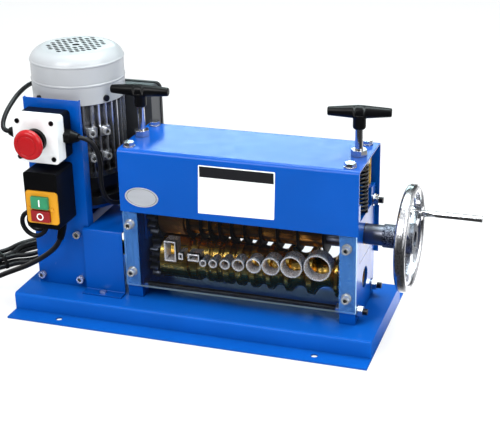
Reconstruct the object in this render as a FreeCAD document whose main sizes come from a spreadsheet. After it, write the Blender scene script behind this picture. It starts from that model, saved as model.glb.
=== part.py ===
import FreeCAD, Part

import math
import os
import re

import Sketcher
from FreeCAD import Placement, Rotation, Vector

# Electric wire stripping machine, millimetres.
# The origin is the centre of the four bench bolt holes, on the bench.
# X runs to the handwheel, Y to the back and Z up.

sizes = {
    # base
    "baseLength": 492,
    "baseWidth": 167.4,
    "baseHeight": 26.3,
    "baseSheet": 2.5,
    "baseFlange": 24.9,
    "baseBend": 4,
    "benchSpanX": 352,
    "benchHoleOut": 10.8,
    "benchHoleRadius": 4.5,
    # running fits
    "fit": 0.05,
    "gap": 0.3,
    # head
    "headY": 2.5,
    "leftPlateX": -94,
    "plateThick": 20.5,
    "plateGap": 269,
    "plateDepth": 99.5,
    "plateHeight": 156.7,
    "slotWidth": 59,
    "feedHeight": 45.2,
    "shaftSpacing": 60.5,
    "shaftRadius": 10,
    "bushRadius": 14,
    "bushRecess": 3,
    "rodRadius": 4,
    "rodSpanY": 79.2,
    "rodLow": 15.7,
    "rodHigh": 136.7,
    "rodProud": 5.4,
    "nutRadius": 7.5,
    "nutHeight": 6.5,
    "washerRadius": 8,
    "washerThick": 1.6,
    # bearing blocks
    "blockDrop": 28.7,
    "blockHeight": 56.7,
    "lipThick": 3.5,
    "lipWide": 4.5,
    # top cover
    "coverSheet": 2.2,
    "coverLeft": 0.7,
    "coverRight": 4.3,
    "coverFront": 57.4,
    "coverBack": 57.3,
    "coverBend": 6,
    "skirtGap": 1,
    "backSkirt": 151.6,
    "standoffLength": 50.4,
    "standoffRadius": 6,
    "standoffSpigot": 8,
    "coverBoltSpanY": 86,
    "coverBoltRadius": 4,
    "coverBoltHead": 7.2,
    "coverBoltHeadHeight": 4.8,
    "coverBoltWasher": 7.8,
    "coverBoltWasherThick": 1.4,
    # press screws and springs
    "pressRadius": 5,
    "pressNutRadius": 10.2,
    "pressNutHeight": 8.4,
    "pressNeckLeft": 39.3,
    "pressNeckRight": 34.4,
    "seatRadius": 13.5,
    "seatThick": 5,
    "seatPocket": 3,
    "seatBoss": 8.6,
    "seatBossLength": 8,
    "seatGap": 1.4,
    "springRadius": 11.2,
    "springWire": 3.2,
    "springCoils": 12,
    "springFit": 0.02,
    "barLength": 78.5,
    "barMiddle": 8.5,
    "barEnd": 5.2,
    "barEdge": 1,
    "barHeight": 22,
    "barCap": 1,
    "neckRadius": 8.1,
    "neckFoot": 6,
    "neckRise": 4,
    "neckRound": 5,
    # blade shaft
    "bladeRadius": 32,
    "bladeThick": 2.5,
    "spacerRadius": 24.5,
    "pressRollerRadius": 28.2,
    "pressRollerStart": -56,
    "pressRollerEnd": -21,
    "collarRadius": 19,
    "sleeveCollarRadius": 13.2,
    "gearTeeth": 15,
    "gearStart": -69,
    "gearWidth": 11.5,
    "gearBacklash": 0.5,
    "gearTip": 0.92,
    "gearRoot": 1.15,
    # feed roller
    "rollerRadius": 31,
    "rollerStart": -55,
    "rollerEnd": 187,
    "shoulderRadius": 15.8,
    # guide sleeves and the feed channels behind them
    "sleeveWall": 1.6,
    "sleeveLength": 19,
    "sleeveProud": 1.25,
    "sleeveFloor": 13,
    "tallX": -29.3,
    "tallWidth": 15.8,
    "tallHeight": 28.1,
    "tallZ": 29.1,
    "smallX": -14.8,
    "smallWidth": 6.3,
    "smallHeight": 8.7,
    "smallZ": 23.7,
    "smallDepth": 27.5,
    "wideX": 2.8,
    "wideWidth": 15.6,
    "wideHeight": 9.7,
    "wideZ": 23.8,
    "wideDepth": 27.5,
    "roundX1": 15.5,
    "roundX2": 29.2,
    "roundX3": 45.5,
    "roundX4": 63.4,
    "roundX5": 84.2,
    "roundX6": 107,
    "roundX7": 134,
    "roundX8": 167.8,
    "roundOuter1": 4.75,
    "roundOuter2": 5.75,
    "roundOuter3": 6.75,
    "roundOuter4": 8.25,
    "roundOuter5": 10,
    "roundOuter6": 12,
    "roundOuter7": 14.5,
    "roundOuter8": 17.5,
    "roundDepth1": 27.5,
    "roundDepth2": 27.5,
    "roundDepth3": 27,
    "roundDepth4": 26.5,
    "roundDepth5": 25.5,
    "roundDepth6": 24,
    "roundDepth7": 22,
    "roundDepth8": 19,
    # clear guard
    "guardThick": 4.5,
    "guardLow": 17.7,
    "guardHeight": 106,
    "guardRight": 1,
    "guardScrewLow": 39.2,
    "guardScrewHigh": 106.7,
    "capRadius": 5,
    "capHeight": 5.5,
    "guardCapHeight": 8,
    "capHex": 2.9,
    "capWasher": 6.5,
    "capWasherThick": 1,
    "shankRadius": 3,
    "shankLength": 12,
    # handwheel
    "wheelRadius": 68.4,
    "wheelThick": 14,
    "wheelX": 265,
    "rimWide": 10,
    "rimRound": 4.5,
    "hubX": 240,
    "hubRadius": 15,
    "hubFlare": 19,
    "hubStep": 2,
    "hubSlope": 8,
    "spokeWide": 15,
    "spokeThick": 8,
    "crankReach": 48.7,
    "crankAngle": 19.2,
    "crankBoss": 9,
    "crankRadius": 4.4,
    "crankEnd": 355,
    # gearbox
    "motorX": -185,
    "wormSpacing": 30,
    "wormModule": 1.44,
    "wormStarts": 2,
    "wormWheelTeeth": 30,
    "wormBacklash": 1.1,
    "wormTip": 0.8,
    "wormRoot": 1.1,
    "wormTail": 8,
    "wormLength": 30,
    "wheelWide": 9,
    "caseLeft": 45,
    "caseRight": 29,
    "caseFront": 30.5,
    "caseBack": 62,
    "caseHeight": 97,
    "caseRound": 8,
    "footHeight": 8,
    "inputRadius": 54,
    "inputThick": 9,
    "wormRoom": 14,
    "wheelRoom": 26,
    "wheelRoomWide": 14,
    # motor
    "flangeZ": 139.5,
    "flangeRadius": 66,
    "flangeThick": 11.5,
    "shieldZ": 161,
    "neckShieldRadius": 52,
    "bodyZ": 177,
    "bodyRadius": 60,
    "coreRadius": 51,
    "bodyHeight": 100,
    "finCount": 36,
    "finThick": 2.4,
    "finRoot": 2,
    "endRing": 7,
    "spigot": 10,
    "boreRadius": 29.5,
    "rotorRadius": 28,
    "rotorZ": 195,
    "rotorHeight": 62,
    "motorShaft": 7,
    "padWide": 15,
    "padHigh": 13,
    "padReach": 63,
    "padAngleA": -52,
    "padAngleB": -34.7,
    "padZLow": 206,
    "padZHigh": 240,
    # fan cover
    "fanCoverRadius": 61.6,
    "fanCoverWall": 1.6,
    "fanCoverTop": 342.8,
    "fanShoulder": 20,
    "fanFlat": 43,
    "fanScrewHeight": 6,
    "fanScrewFlat": 0.2,
    "fanBeadZ1": 302,
    "fanBeadZ2": 327.5,
    "fanBead": 0.9,
    "grilleRadius": 41,
    "grilleLong": 5.6,
    "grilleWide": 3.8,
    "grillePitch": 11.4,
    "grilleRow": 6.3,
    "grilleShift": 6.8,
    "grilleTurn": -11,
    "grilleHole": 5,
    "fanRadius": 50,
    "fanZ": 292,
    "fanHeight": 26,
    "fanHub": 14,
    "fanBlades": 8,
    "fanBladeThick": 2,
    # terminal box
    "terminalLeft": -190,
    "terminalRight": -96.5,
    "terminalFront": 67,
    "terminalBack": 97,
    "terminalLow": 190,
    "terminalHigh": 278,
    "terminalRound": 9,
    "terminalWall": 3,
    "terminalLid": 6,
    # control panel
    "panelFront": -41,
    "panelSheet": 1.8,
    "panelLeft": -229.5,
    "panelRight": -150,
    "panelTop": 289.8,
    "returnDeep": 16,
    "returnShallow": 5,
    "leftReturnLow": 34,
    "returnStep": 238,
    "panelScrewX1": -166.6,
    "panelScrewX2": -223.9,
    "panelScrewLow": 11.6,
    "panelScrewHigh": 77.4,
    "panelBoss": 6.5,
    # gear cover
    "gearCoverLeft": -156,
    "gearCoverRight": -99.5,
    "gearCoverFront": -47,
    "gearCoverHeight": 89.7,
    "gearCoverDepth": 95,
    "gearCoverFoot": 14.5,
    "gearCoverBend": 3,
    "gearScrewX": -129,
    "gearScrewY": -54,
    "panHead": 4.2,
    "panHeight": 2.4,
    "panShank": 2,
    "panShankLength": 7,
    # emergency stop
    "stopX": -195,
    "stopZ": 246.7,
    "stopWide": 62.6,
    "stopHigh": 61.5,
    "stopBase": 19,
    "stopLid": 19,
    "stopRound": 5,
    "stopWall": 3,
    "stopScrewReach": 24,
    "stopPostWall": 1.6,
    "stopCollarRadius": 15.5,
    "stopCollar": 6,
    "stopStem": 7,
    "stopGapY": 6.5,
    "mushroomRadius": 20,
    "mushroomDeep": 13.5,
    "glandRadius": 9,
    "glandNut": 8,
    "glandDome": 10,
    "glandY": -56,
    # switch
    "switchLeft": -213,
    "switchRight": -166,
    "switchLow": 129,
    "switchHigh": 206,
    "switchFront": -88,
    "switchRound": 4,
    "bezelLow": 136.5,
    "bezelHigh": 181,
    "bezelLeft": -211,
    "bezelThick": 2,
    "bezelPin": 2.5,
    "bezelPinReach": 16.5,
    "bezelPinZ": 157,
    "bezelPinProud": 1.6,
    "buttonProud": 4,
    "buttonTravel": 3,
    "buttonX": -190.5,
    "buttonDeep": 14,
    "greenZ": 166,
    "greenWide": 24,
    "greenHigh": 16,
    "redZ": 147.5,
    "redWide": 26,
    "redHigh": 15,
    # cords
    "leadRadius": 3.1,
    "mainsRadius": 3.5,
    "mainsX": -176,
    "mainsY": -64,
    "reliefDrop": 23,
    "reliefLean": 4.5,
    "reliefWall": 2.6,
    "reliefTipWall": 1.2,
    "hankLength": 180,
    "hankStep": 8.4,
    "hankEnd": 14.6,
    "hankRun": 30,
    "hankX": -338,
    "hankY": 42,
    "hankTurn": 53,
    "plugRelief": 12,
    "plugReliefWall": 1.5,
    "plugLong": 38,
    "plugWide": 26,
    "plugHigh": 17,
    "plugRound": 5,
    "pinRadius": 2,
    "pinLong": 19,
    "pinSpan": 13,
}

places = {
    # heights above the bench and stations along the machine
    "benchSpanY": "baseWidth + 2 * benchHoleOut",
    "plateTop": "baseHeight + plateHeight",
    "leftInner": "leftPlateX + plateThick",
    "rightInner": "leftInner + plateGap",
    "rightOuter": "rightInner + plateThick",
    "leftMiddle": "leftPlateX + plateThick / 2",
    "rightMiddle": "rightInner + plateThick / 2",
    "plateFront": "headY - plateDepth / 2",
    "plateBack": "headY + plateDepth / 2",
    "feedZ": "baseHeight + feedHeight",
    "bladeZ": "feedZ + shaftSpacing",
    "blockLow": "bladeZ - blockDrop",
    "blockTop": "blockLow + blockHeight",
    "slotLow": "blockLow - gap",
    "coverUnder": "plateTop + standoffLength",
    "coverTop": "coverUnder + coverSheet",
    "coverY1": "headY - coverFront",
    "coverY2": "headY + coverBack",
    "coverX1": "leftPlateX - coverLeft",
    "coverX2": "rightOuter + coverRight",
    "seatTop": "coverUnder - seatGap",
    "seatLow": "seatTop - seatThick",
    "rodFront": "headY - rodSpanY / 2",
    "rodBack": "headY + rodSpanY / 2",
    "rodLowZ": "baseHeight + rodLow",
    "rodHighZ": "baseHeight + rodHigh",
    "guardFront": "plateFront - guardThick",
    "guardLowZ": "baseHeight + guardLow",
    "guardTopZ": "guardLowZ + guardHeight",
    "sleeveFront": "guardFront - sleeveProud",
    "sleeveBack": "sleeveFront + sleeveLength",
    "motorY": "headY + wormSpacing",
    "caseTop": "baseHeight + caseHeight",
    "wheelPitch": "wormModule * wormWheelTeeth / 2",
    "wormPitch": "wormSpacing - wheelPitch",
    "bodyTop": "bodyZ + bodyHeight",
    "stopBaseFront": "panelFront - stopBase",
    "stopLidFront": "stopBaseFront - stopLid",
    "stopCollarFront": "stopLidFront - stopCollar",
    "gearCoverTop": "baseHeight + gearCoverHeight",
    "handleLeft": "coverTop + pressNeckLeft",
    "handleRight": "coverTop + pressNeckRight",
    "fanScrewZ": "bodyTop + fanScrewHeight",
    "hankReach": "hankLength / 2 - hankEnd - 1.5 * hankStep",
    "plugStart": "hankReach + hankRun + 2 * mainsRadius",
    "plugAcross": "hankEnd + 1.5 * hankStep",
}

doc = FreeCAD.newDocument("WireStripper")
sheet = doc.addObject("Spreadsheet::Sheet", "Sizes")
for row, (alias, number) in enumerate(sizes.items(), start=1):
    sheet.set("A%d" % row, alias)
    sheet.set("B%d" % row, str(number))
    sheet.setAlias("B%d" % row, alias)
doc.recompute()

nodes = []


def full(formula):
    """A formula of named sizes and places, as an expression on the sheet."""
    def swap(match):
        word = match.group(0)
        if word in places:
            return "(" + full(places[word]) + ")"
        return "Sizes." + word if word in sizes else word
    return re.sub(r"[A-Za-z][A-Za-z0-9]*", swap, str(formula))


def num(formula):
    return float(sheet.evalExpression(full(formula)))


def bind(thing, **formulas):
    for name, formula in formulas.items():
        thing.setExpression(name.replace("_", "."), full(formula))


def put(thing, x=0, y=0, z=0):
    bind(thing, Placement_Base_x=x, Placement_Base_y=y, Placement_Base_z=z)


def node(label, piece):
    piece.Label = label
    nodes.append(piece)
    return piece


# primitives

def block(x, y, z):
    """A box from its low and high formulas along each axis."""
    piece = doc.addObject("Part::Box", "Block")
    bind(piece, Length="(%s) - (%s)" % (x[1], x[0]), Width="(%s) - (%s)" % (y[1], y[0]),
         Height="(%s) - (%s)" % (z[1], z[0]))
    put(piece, x[0], y[0], z[0])
    return piece


axisTurns = {
    "x": Rotation(Vector(0, 1, 0), 90),
    "y": Rotation(Vector(1, 0, 0), -90),
    "z": Rotation(),
}


def aim(piece, axis, low, a, b):
    """Stand a turned piece on its axis; a and b are the other two coordinates in order."""
    piece.Placement.Rotation = axisTurns[axis]
    where = {"x": (low, a, b), "y": (a, low, b), "z": (a, b, low)}[axis]
    put(piece, *where)
    return piece


def bar(axis, radius, low, high, a, b):
    piece = doc.addObject("Part::Cylinder", "Bar")
    bind(piece, Radius=radius, Height="(%s) - (%s)" % (high, low))
    return aim(piece, axis, low, a, b)


def cone(axis, radiusLow, radiusHigh, low, high, a, b):
    piece = doc.addObject("Part::Cone", "Cone")
    bind(piece, Radius1=radiusLow, Radius2=radiusHigh, Height="(%s) - (%s)" % (high, low))
    return aim(piece, axis, low, a, b)


def prism(axis, radius, low, high, a, b):
    """A hexagon bar; radius is to its corners."""
    piece = doc.addObject("Part::Prism", "Hexagon")
    piece.Polygon = 6
    bind(piece, Circumradius=radius, Height="(%s) - (%s)" % (high, low))
    return aim(piece, axis, low, a, b)


def swung(piece, angle, x, y):
    """Turn a piece about the vertical and carry it to a point."""
    holder = group(piece)
    holder.Placement.Rotation = Rotation(Vector(0, 0, 1), angle)
    put(holder, x, y, "0")
    return holder


def joined(*pieces):
    if len(pieces) == 1:
        return pieces[0]
    whole = doc.addObject("Part::MultiFuse", "Joined")
    whole.Shapes = list(pieces)
    whole.Refine = True
    return whole


def cut(base, *tools):
    piece = doc.addObject("Part::Cut", "Cut")
    piece.Base = base
    piece.Tool = joined(*tools)
    return piece


def group(*pieces):
    whole = doc.addObject("Part::Compound", "Group")
    whole.Links = list(pieces)
    return whole


# sketched bodies

def sketchOn(body, plane, offset=0):
    """A sketch on one of the body's own planes, moved along that plane's normal."""
    face = [f for f in body.Origin.OriginFeatures if f.Role == plane][0]
    sketch = body.newObject("Sketcher::SketchObject", "Sketch")
    sketch.AttachmentSupport = [(face, "")]
    sketch.MapMode = "FlatFace"
    bind(sketch, AttachmentOffset_Base_z=offset)
    return sketch


def place(sketch, shape, end, x, y):
    """Fix one end of a sketched line at a formula position."""
    for kind, formula in (("DistanceX", x), ("DistanceY", y)):
        index = sketch.addConstraint(
            Sketcher.Constraint(kind, -1, 1, shape, end, num(formula)))
        sketch.setExpression("Constraints[%d]" % index, full(formula))


def arcThrough(start, end, radius, side):
    """The short arc between two points, drawn anticlockwise; side 1 bulges right of the way."""
    middle = (start + end) * 0.5
    along = end - start
    right = Vector(along.y, -along.x, 0).normalize() * side
    rise = math.sqrt(max(radius ** 2 - (along.Length / 2) ** 2, 0))
    centre = middle - right * rise
    top = centre + right * radius
    return Part.Arc(start, top, end) if side > 0 else Part.Arc(end, top, start)


def trace(sketch, corners):
    """A closed outline. A corner is (x, y), or (x, y, radius, side) if an arc leaves it."""
    first = len(sketch.Geometry)
    points = [Vector(num(c[0]), num(c[1]), 0) for c in corners]
    count = len(corners)
    for i, corner in enumerate(corners):
        start, end = points[i], points[(i + 1) % count]
        if len(corner) == 2:
            sketch.addGeometry(Part.LineSegment(start, end), False)
        else:
            sketch.addGeometry(arcThrough(start, end, num(corner[2]), corner[3]), False)
    # an arc that bulges left is drawn from its far end
    ends = [(2, 1) if len(c) == 4 and c[3] < 0 else (1, 2) for c in corners]
    for i in range(count):
        after = (i + 1) % count
        sketch.addConstraint(Sketcher.Constraint(
            "Coincident", first + i, ends[i][1], first + after, ends[after][0]))
    for i, corner in enumerate(corners):
        place(sketch, first + i, ends[i][0], corner[0], corner[1])
        if len(corner) == 4:
            index = sketch.addConstraint(
                Sketcher.Constraint("Radius", first + i, num(corner[2])))
            sketch.setExpression("Constraints[%d]" % index, full(corner[2]))


def soften(corners):
    """Round the square corners of an outline that carry a radius: (x, y, radius)."""
    count = len(corners)
    points = [(num(c[0]), num(c[1])) for c in corners]
    out = []
    for i, corner in enumerate(corners):
        if len(corner) == 2:
            out.append(corner)
            continue
        x, y, radius = corner
        before, here, after = points[i - 1], points[i], points[(i + 1) % count]
        comes = [(h > b) - (h < b) for h, b in zip(here, before)]
        goes = [(a > h) - (a < h) for a, h in zip(after, here)]
        side = 1 if comes[0] * goes[1] - comes[1] * goes[0] > 0 else -1
        start = ["(%s) - (%d) * (%s)" % (value, step, radius) for value, step in zip((x, y), comes)]
        end = ["(%s) + (%d) * (%s)" % (value, step, radius) for value, step in zip((x, y), goes)]
        out.append((start[0], start[1], radius, side))
        out.append((end[0], end[1]))
    return out


def rectangle(x1, x2, y1, y2, radius=None):
    corners = [(x1, y1), (x2, y1), (x2, y2), (x1, y2)]
    if radius is None:
        return corners
    return soften([corner + (radius,) for corner in corners])


def feature(body, kind, sketch, **formulas):
    piece = body.newObject("PartDesign::" + kind, kind)
    piece.Profile = sketch
    bind(piece, **formulas)
    return piece


def extruded(plane, low, high, *outlines):
    """A body padded between two stations; later outlines are holes in the first.

    On the XZ plane the stations are Y values, and the plane's own normal is -Y.
    """
    body = doc.addObject("PartDesign::Body", "Body")
    offset = "-(%s)" % high if plane == "XZ_Plane" else low
    sketch = sketchOn(body, plane, offset)
    for outline in outlines:
        trace(sketch, outline)
    feature(body, "Pad", sketch, Length="(%s) - (%s)" % (high, low))
    return body


def turned(corners, y, z):
    """A body revolved about a line along X; its outline is given as (x, radius)."""
    body = doc.addObject("PartDesign::Body", "Body")
    sketch = sketchOn(body, "XY_Plane")
    trace(sketch, corners)
    spin = body.newObject("PartDesign::Revolution", "Revolution")
    spin.Profile = sketch
    spin.ReferenceAxis = (sketch, ["H_Axis"])
    spin.Angle = 360
    put(body, 0, y, z)
    return body


def spun(corners, x, y):
    """A body revolved about a vertical line; its outline is given as (radius, z)."""
    body = doc.addObject("PartDesign::Body", "Body")
    sketch = sketchOn(body, "XZ_Plane")
    trace(sketch, corners)
    spin = body.newObject("PartDesign::Revolution", "Revolution")
    spin.Profile = sketch
    spin.ReferenceAxis = (sketch, ["V_Axis"])
    spin.Angle = 360
    put(body, x, y, 0)
    return body


def shaped(shape):
    piece = doc.addObject("Part::Feature", "Shape")
    piece.Shape = shape
    return piece


# curved wires and tubes

def biarc(start, startWay, end, endWay):
    """Two arcs that join two points with given directions, smooth where they meet."""
    chord = end - start
    both = startWay + endWay
    a = 2 * (1 - startWay.dot(endWay))
    b = 2 * chord.dot(both)
    c = -chord.dot(chord)
    if a < 1e-9:
        reach = -c / b if abs(b) > 1e-9 else chord.Length / 2
    else:
        reach = (-b + math.sqrt(b * b - 4 * a * c)) / (2 * a)
    near = start + startWay * reach
    far = end - endWay * reach
    joint = (near + far) * 0.5
    return [arcFrom(start, startWay, joint), arcFrom(joint, (far - near).normalize(), end)]


def arcFrom(start, way, end):
    """The arc that leaves a point in a direction and reaches another point."""
    chord = end - start
    aside = chord - way * chord.dot(way)
    if aside.Length < 1e-6 * chord.Length:
        return Part.LineSegment(start, end).toShape()
    aside.normalize()
    radius = chord.dot(chord) / (2 * chord.dot(aside))
    centre = start + aside * radius
    middle = ((start + end) * 0.5 - centre)
    if chord.dot(way) < 0:
        middle = middle * -1
    top = centre + middle.normalize() * radius
    return Part.Arc(start, top, end).toShape()


def tube(edges, radius):
    """A round tube along joined edges, as a pipe shell in its default mode."""
    path = Part.Wire(edges)
    first = edges[0]
    start = first.valueAt(first.FirstParameter)
    way = first.tangentAt(first.FirstParameter)
    circle = Part.Wire([Part.makeCircle(radius, start, way)])
    return path.makePipeShell([circle], True, False)


def cordPath(points):
    """Straight runs joined by tangent arcs, as wide as the runs beside them allow."""
    points = [Vector(*p) for p in points]
    edges = []
    radii = []
    here = points[0]
    for before, corner, after in zip(points, points[1:], points[2:]):
        comes = (corner - before).normalize()
        goes = (after - corner).normalize()
        turn = comes.getAngle(goes)
        reach = 0.45 * min((corner - before).Length, (after - corner).Length)
        radius = reach / math.tan(turn / 2)
        radii.append(radius)
        arcStart = corner - comes * reach
        arcEnd = corner + goes * reach
        inward = (goes - comes).normalize()
        centre = corner + inward * (radius / math.cos(turn / 2))
        edges.append(Part.LineSegment(here, arcStart).toShape())
        edges.append(Part.Arc(arcStart, centre - inward * radius, arcEnd).toShape())
        here = arcEnd
    edges.append(Part.LineSegment(here, points[-1]).toShape())
    return edges, radii


def cord(name, points, radius):
    edges, radii = cordPath(points)
    solid = tube(edges, radius)
    length = sum(edge.Length for edge in edges)
    expected = math.pi * radius ** 2 * length
    print("%s: length %.0f, least radius %.1f, volume %.4f of section x length"
          % (name, length, min(radii), solid.Volume / expected))
    return shaped(solid)


def leastGap(edges, radius, apart):
    """The least gap of a wound tube to itself, on points; apart skips points near along it."""
    points = []
    walked = 0
    for edge in edges:
        steps = max(int(edge.Length / 1.5), 2)
        for i in range(steps):
            share = (i + 0.5) / steps
            point = edge.valueAt(edge.FirstParameter + share * (edge.LastParameter - edge.FirstParameter))
            points.append((walked + share * edge.Length, point))
        walked += edge.Length
    least = 1e9
    for i, (at, point) in enumerate(points):
        for otherAt, other in points[i + 1:]:
            if otherAt - at > apart:
                least = min(least, (point - other).Length)
    return least - 2 * radius


# base

def basePlate():
    halfWide = "baseWidth / 2"
    edge = "baseWidth / 2 + baseFlange"
    inner = "baseWidth / 2 - baseSheet"
    under = "baseHeight - baseSheet"
    bend = "baseBend"
    innerBend = "baseBend - baseSheet"
    hat = soften([
        ("-(%s)" % edge, "0"),
        ("-(%s)" % inner, "0"),
        ("-(%s)" % inner, under, innerBend),
        (inner, under, innerBend),
        (inner, "0"),
        (edge, "0"),
        (edge, "baseSheet"),
        (halfWide, "baseSheet"),
        (halfWide, "baseHeight", bend),
        ("-(%s)" % halfWide, "baseHeight", bend),
        ("-(%s)" % halfWide, "baseSheet"),
        ("-(%s)" % edge, "baseSheet"),
    ])
    hood = extruded("YZ_Plane", "-baseLength / 2", "baseLength / 2", hat)
    ends = [block(x, ("-(%s)" % inner, inner), ("0", "baseHeight - baseSheet / 2"))
            for x in (("-baseLength / 2", "-baseLength / 2 + baseSheet"),
                      ("baseLength / 2 - baseSheet", "baseLength / 2"))]
    holes = [bar("z", "benchHoleRadius", "-1", "baseSheet + 1",
                 "%d * benchSpanX / 2" % i, "%d * benchSpanY / 2" % j)
             for i in (-1, 1) for j in (-1, 1)]
    node("base_plate", cut(joined(hood, *ends), *holes))


# head

def rodSpots():
    return [("rodFront", "rodLowZ"), ("rodBack", "rodLowZ"), ("rodBack", "rodHighZ")]


def sidePlate(label, low):
    high = "%s + plateThick" % low
    outline = [
        ("plateFront", "baseHeight"),
        ("plateBack", "baseHeight"),
        ("plateBack", "plateTop"),
        ("headY + slotWidth / 2", "plateTop"),
        ("headY + slotWidth / 2", "slotLow"),
        ("headY - slotWidth / 2", "slotLow"),
        ("headY - slotWidth / 2", "plateTop"),
        ("plateFront", "plateTop"),
    ]
    plate = extruded("YZ_Plane", low, high, outline)
    tools = [bar("x", "bushRadius", "%s - 1" % low, "%s + 1" % high, "headY", "feedZ")]
    tools += [bar("x", "rodRadius", "%s - 1" % low, "%s + 1" % high, y, z) for y, z in rodSpots()]
    middle = "%s + plateThick / 2" % low
    for z in ("guardScrewLow", "guardScrewHigh"):
        tools.append(bar("y", "shankRadius", "plateFront - 1",
                         "plateFront + shankLength - guardThick", middle, "baseHeight + " + z))
    for j in (-1, 1):
        tools.append(bar("z", "coverBoltRadius", "plateTop - standoffSpigot", "plateTop + 1",
                         middle, "headY + %d * coverBoltSpanY / 2" % j))
    node(label, cut(plate, *tools))


def tieRods():
    ends = ("leftPlateX", "rightOuter + washerThick + nutHeight + rodProud")
    node("tie_rods", group(*[bar("x", "rodRadius", ends[0], ends[1], y, z) for y, z in rodSpots()]))


def tieRodNuts():
    pieces = []

    def ring(y, z, low, high, maker, radius):
        outer = maker("x", radius, low, high, y, z)
        pieces.append(cut(outer, bar("x", "rodRadius", "%s - 1" % low, "%s + 1" % high, y, z)))
    for y, z in rodSpots():
        face = "rightOuter"
        ring(y, z, face, face + " + washerThick", bar, "washerRadius")
        ring(y, z, face + " + washerThick", face + " + washerThick + nutHeight", prism, "nutRadius")
        if z == "rodLowZ":
            ring(y, z, "leftInner", "leftInner + nutHeight", prism, "nutRadius")
            ring(y, z, "rightInner - nutHeight", "rightInner", prism, "nutRadius")
    node("tie_rod_nuts", group(*pieces))


def lowerBearings():
    rings = []
    for low, high in (("leftPlateX", "leftInner"), ("rightInner", "rightOuter - bushRecess")):
        outer = bar("x", "bushRadius", low, high, "headY", "feedZ")
        hole = bar("x", "shaftRadius + fit", "%s - 1" % low, "%s + 1" % high, "headY", "feedZ")
        rings.append(cut(outer, hole))
    node("lower_bearings", group(*rings))


# carriage

def bearingBlock(label, inner, outer, inward):
    """A sliding block in the plate's slot, with a lip behind the plate's inner face."""
    low, high = (inner, outer) if inward < 0 else (outer, inner)
    half = "slotWidth / 2 - gap"
    body = block((low, high), ("headY - (%s)" % half, "headY + " + half), ("blockLow", "blockTop"))
    lipNear = "%s + (%d) * gap" % (inner, inward)
    lipFar = "%s + (%d) * (gap + lipThick)" % (inner, inward)
    lipLow, lipHigh = (lipFar, lipNear) if inward < 0 else (lipNear, lipFar)
    lip = block((lipLow, lipHigh),
                ("headY - (%s) - lipWide" % half, "headY + %s + lipWide" % half),
                ("blockLow", "blockTop"))
    bridgeLow, bridgeHigh = (lipLow, low) if inward < 0 else (high, lipHigh)
    bridge = block((bridgeLow, bridgeHigh), ("headY - (%s)" % half, "headY + " + half),
                   ("blockLow", "blockTop"))
    hole = bar("x", "bushRadius", "%s - 1" % lipLow if inward < 0 else "%s - 1" % low,
               "%s + 1" % high if inward < 0 else "%s + 1" % lipHigh, "headY", "bladeZ")
    node(label, cut(joined(body, bridge, lip), hole))


def upperBearings():
    rings = []
    for low, high in (("leftPlateX", "leftInner + gap + lipThick"),
                      ("rightInner - gap - lipThick", "rightOuter")):
        outer = bar("x", "bushRadius", low, high, "headY", "bladeZ")
        hole = bar("x", "shaftRadius + fit", "%s - 1" % low, "%s + 1" % high, "headY", "bladeZ")
        rings.append(cut(outer, hole))
    node("upper_bearings", group(*rings))


def pressSpring(label, x):
    """A compression spring from quarter-turn biarcs, standing on its block."""
    wire = num("springWire")
    radius = num("springRadius")
    low = num("blockTop + springFit") + wire / 2
    high = num("seatLow - springFit") - wire / 2
    coils = int(num("springCoils"))
    rise = (high - low) / coils
    slope = rise / (2 * math.pi)

    def at(turn):
        angle = 2 * math.pi * turn
        point = Vector(radius * math.cos(angle), radius * math.sin(angle), low + rise * turn)
        way = Vector(-radius * math.sin(angle), radius * math.cos(angle), slope)
        return point, way.normalize()
    edges = []
    for i in range(4 * coils):
        start, startWay = at(i / 4)
        end, endWay = at((i + 1) / 4)
        edges += biarc(start, startWay, end, endWay)
    print("%s: least gap between coils %.2f" % (label, rise * radius / math.hypot(radius, slope) - wire))
    piece = shaped(tube(edges, wire / 2))
    put(piece, x, "headY", 0)
    node(label, piece)


def springSeat(label, x):
    disc = bar("z", "seatRadius", "seatLow", "seatTop", x, "headY")
    boss = bar("z", "seatBoss", "seatLow - seatBossLength", "seatLow + 0.5", x, "headY")
    socket = bar("z", "pressRadius + gap", "seatTop - seatPocket", "seatTop + 1", x, "headY")
    node(label, cut(joined(disc, boss), socket))


def screwEnd(foot):
    return foot + " + barHeight - barMiddle - barCap"


def pressScrew(label, x, foot):
    node(label, bar("z", "pressRadius", "seatTop - seatPocket + gap", screwEnd(foot), x, "headY"))


def pressBar(label, x, foot, turn):
    """The moulded T: a bar thicker in the middle, on a round-footed neck that takes the screw."""
    half = "barLength / 2"
    middle = foot + " + barHeight"
    shank = turned([
        ("-(%s)" % half, "0"),
        (half, "0"),
        (half, "barEnd - barEdge"),
        (half + " - barEdge", "barEnd"),
        ("barMiddle", "barMiddle"),
        ("-barMiddle", "barMiddle"),
        ("-(%s) + barEdge" % half, "barEnd"),
        ("-(%s)" % half, "barEnd - barEdge"),
    ], "0", middle)
    neck = spun([
        ("0", foot),
        ("neckFoot", foot, "neckRound", 1),
        ("neckRadius", foot + " + neckRise"),
        ("neckRadius", middle),
        ("0", middle),
    ], "0", "0")
    hole = bar("z", "pressRadius", foot + " - 1", screwEnd(foot), "0", "0")
    piece = cut(joined(shank, neck), hole)
    piece.Placement.Rotation = Rotation(Vector(0, 0, 1), turn)
    put(piece, x, "headY", "0")
    node(label, piece)


# cover

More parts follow.
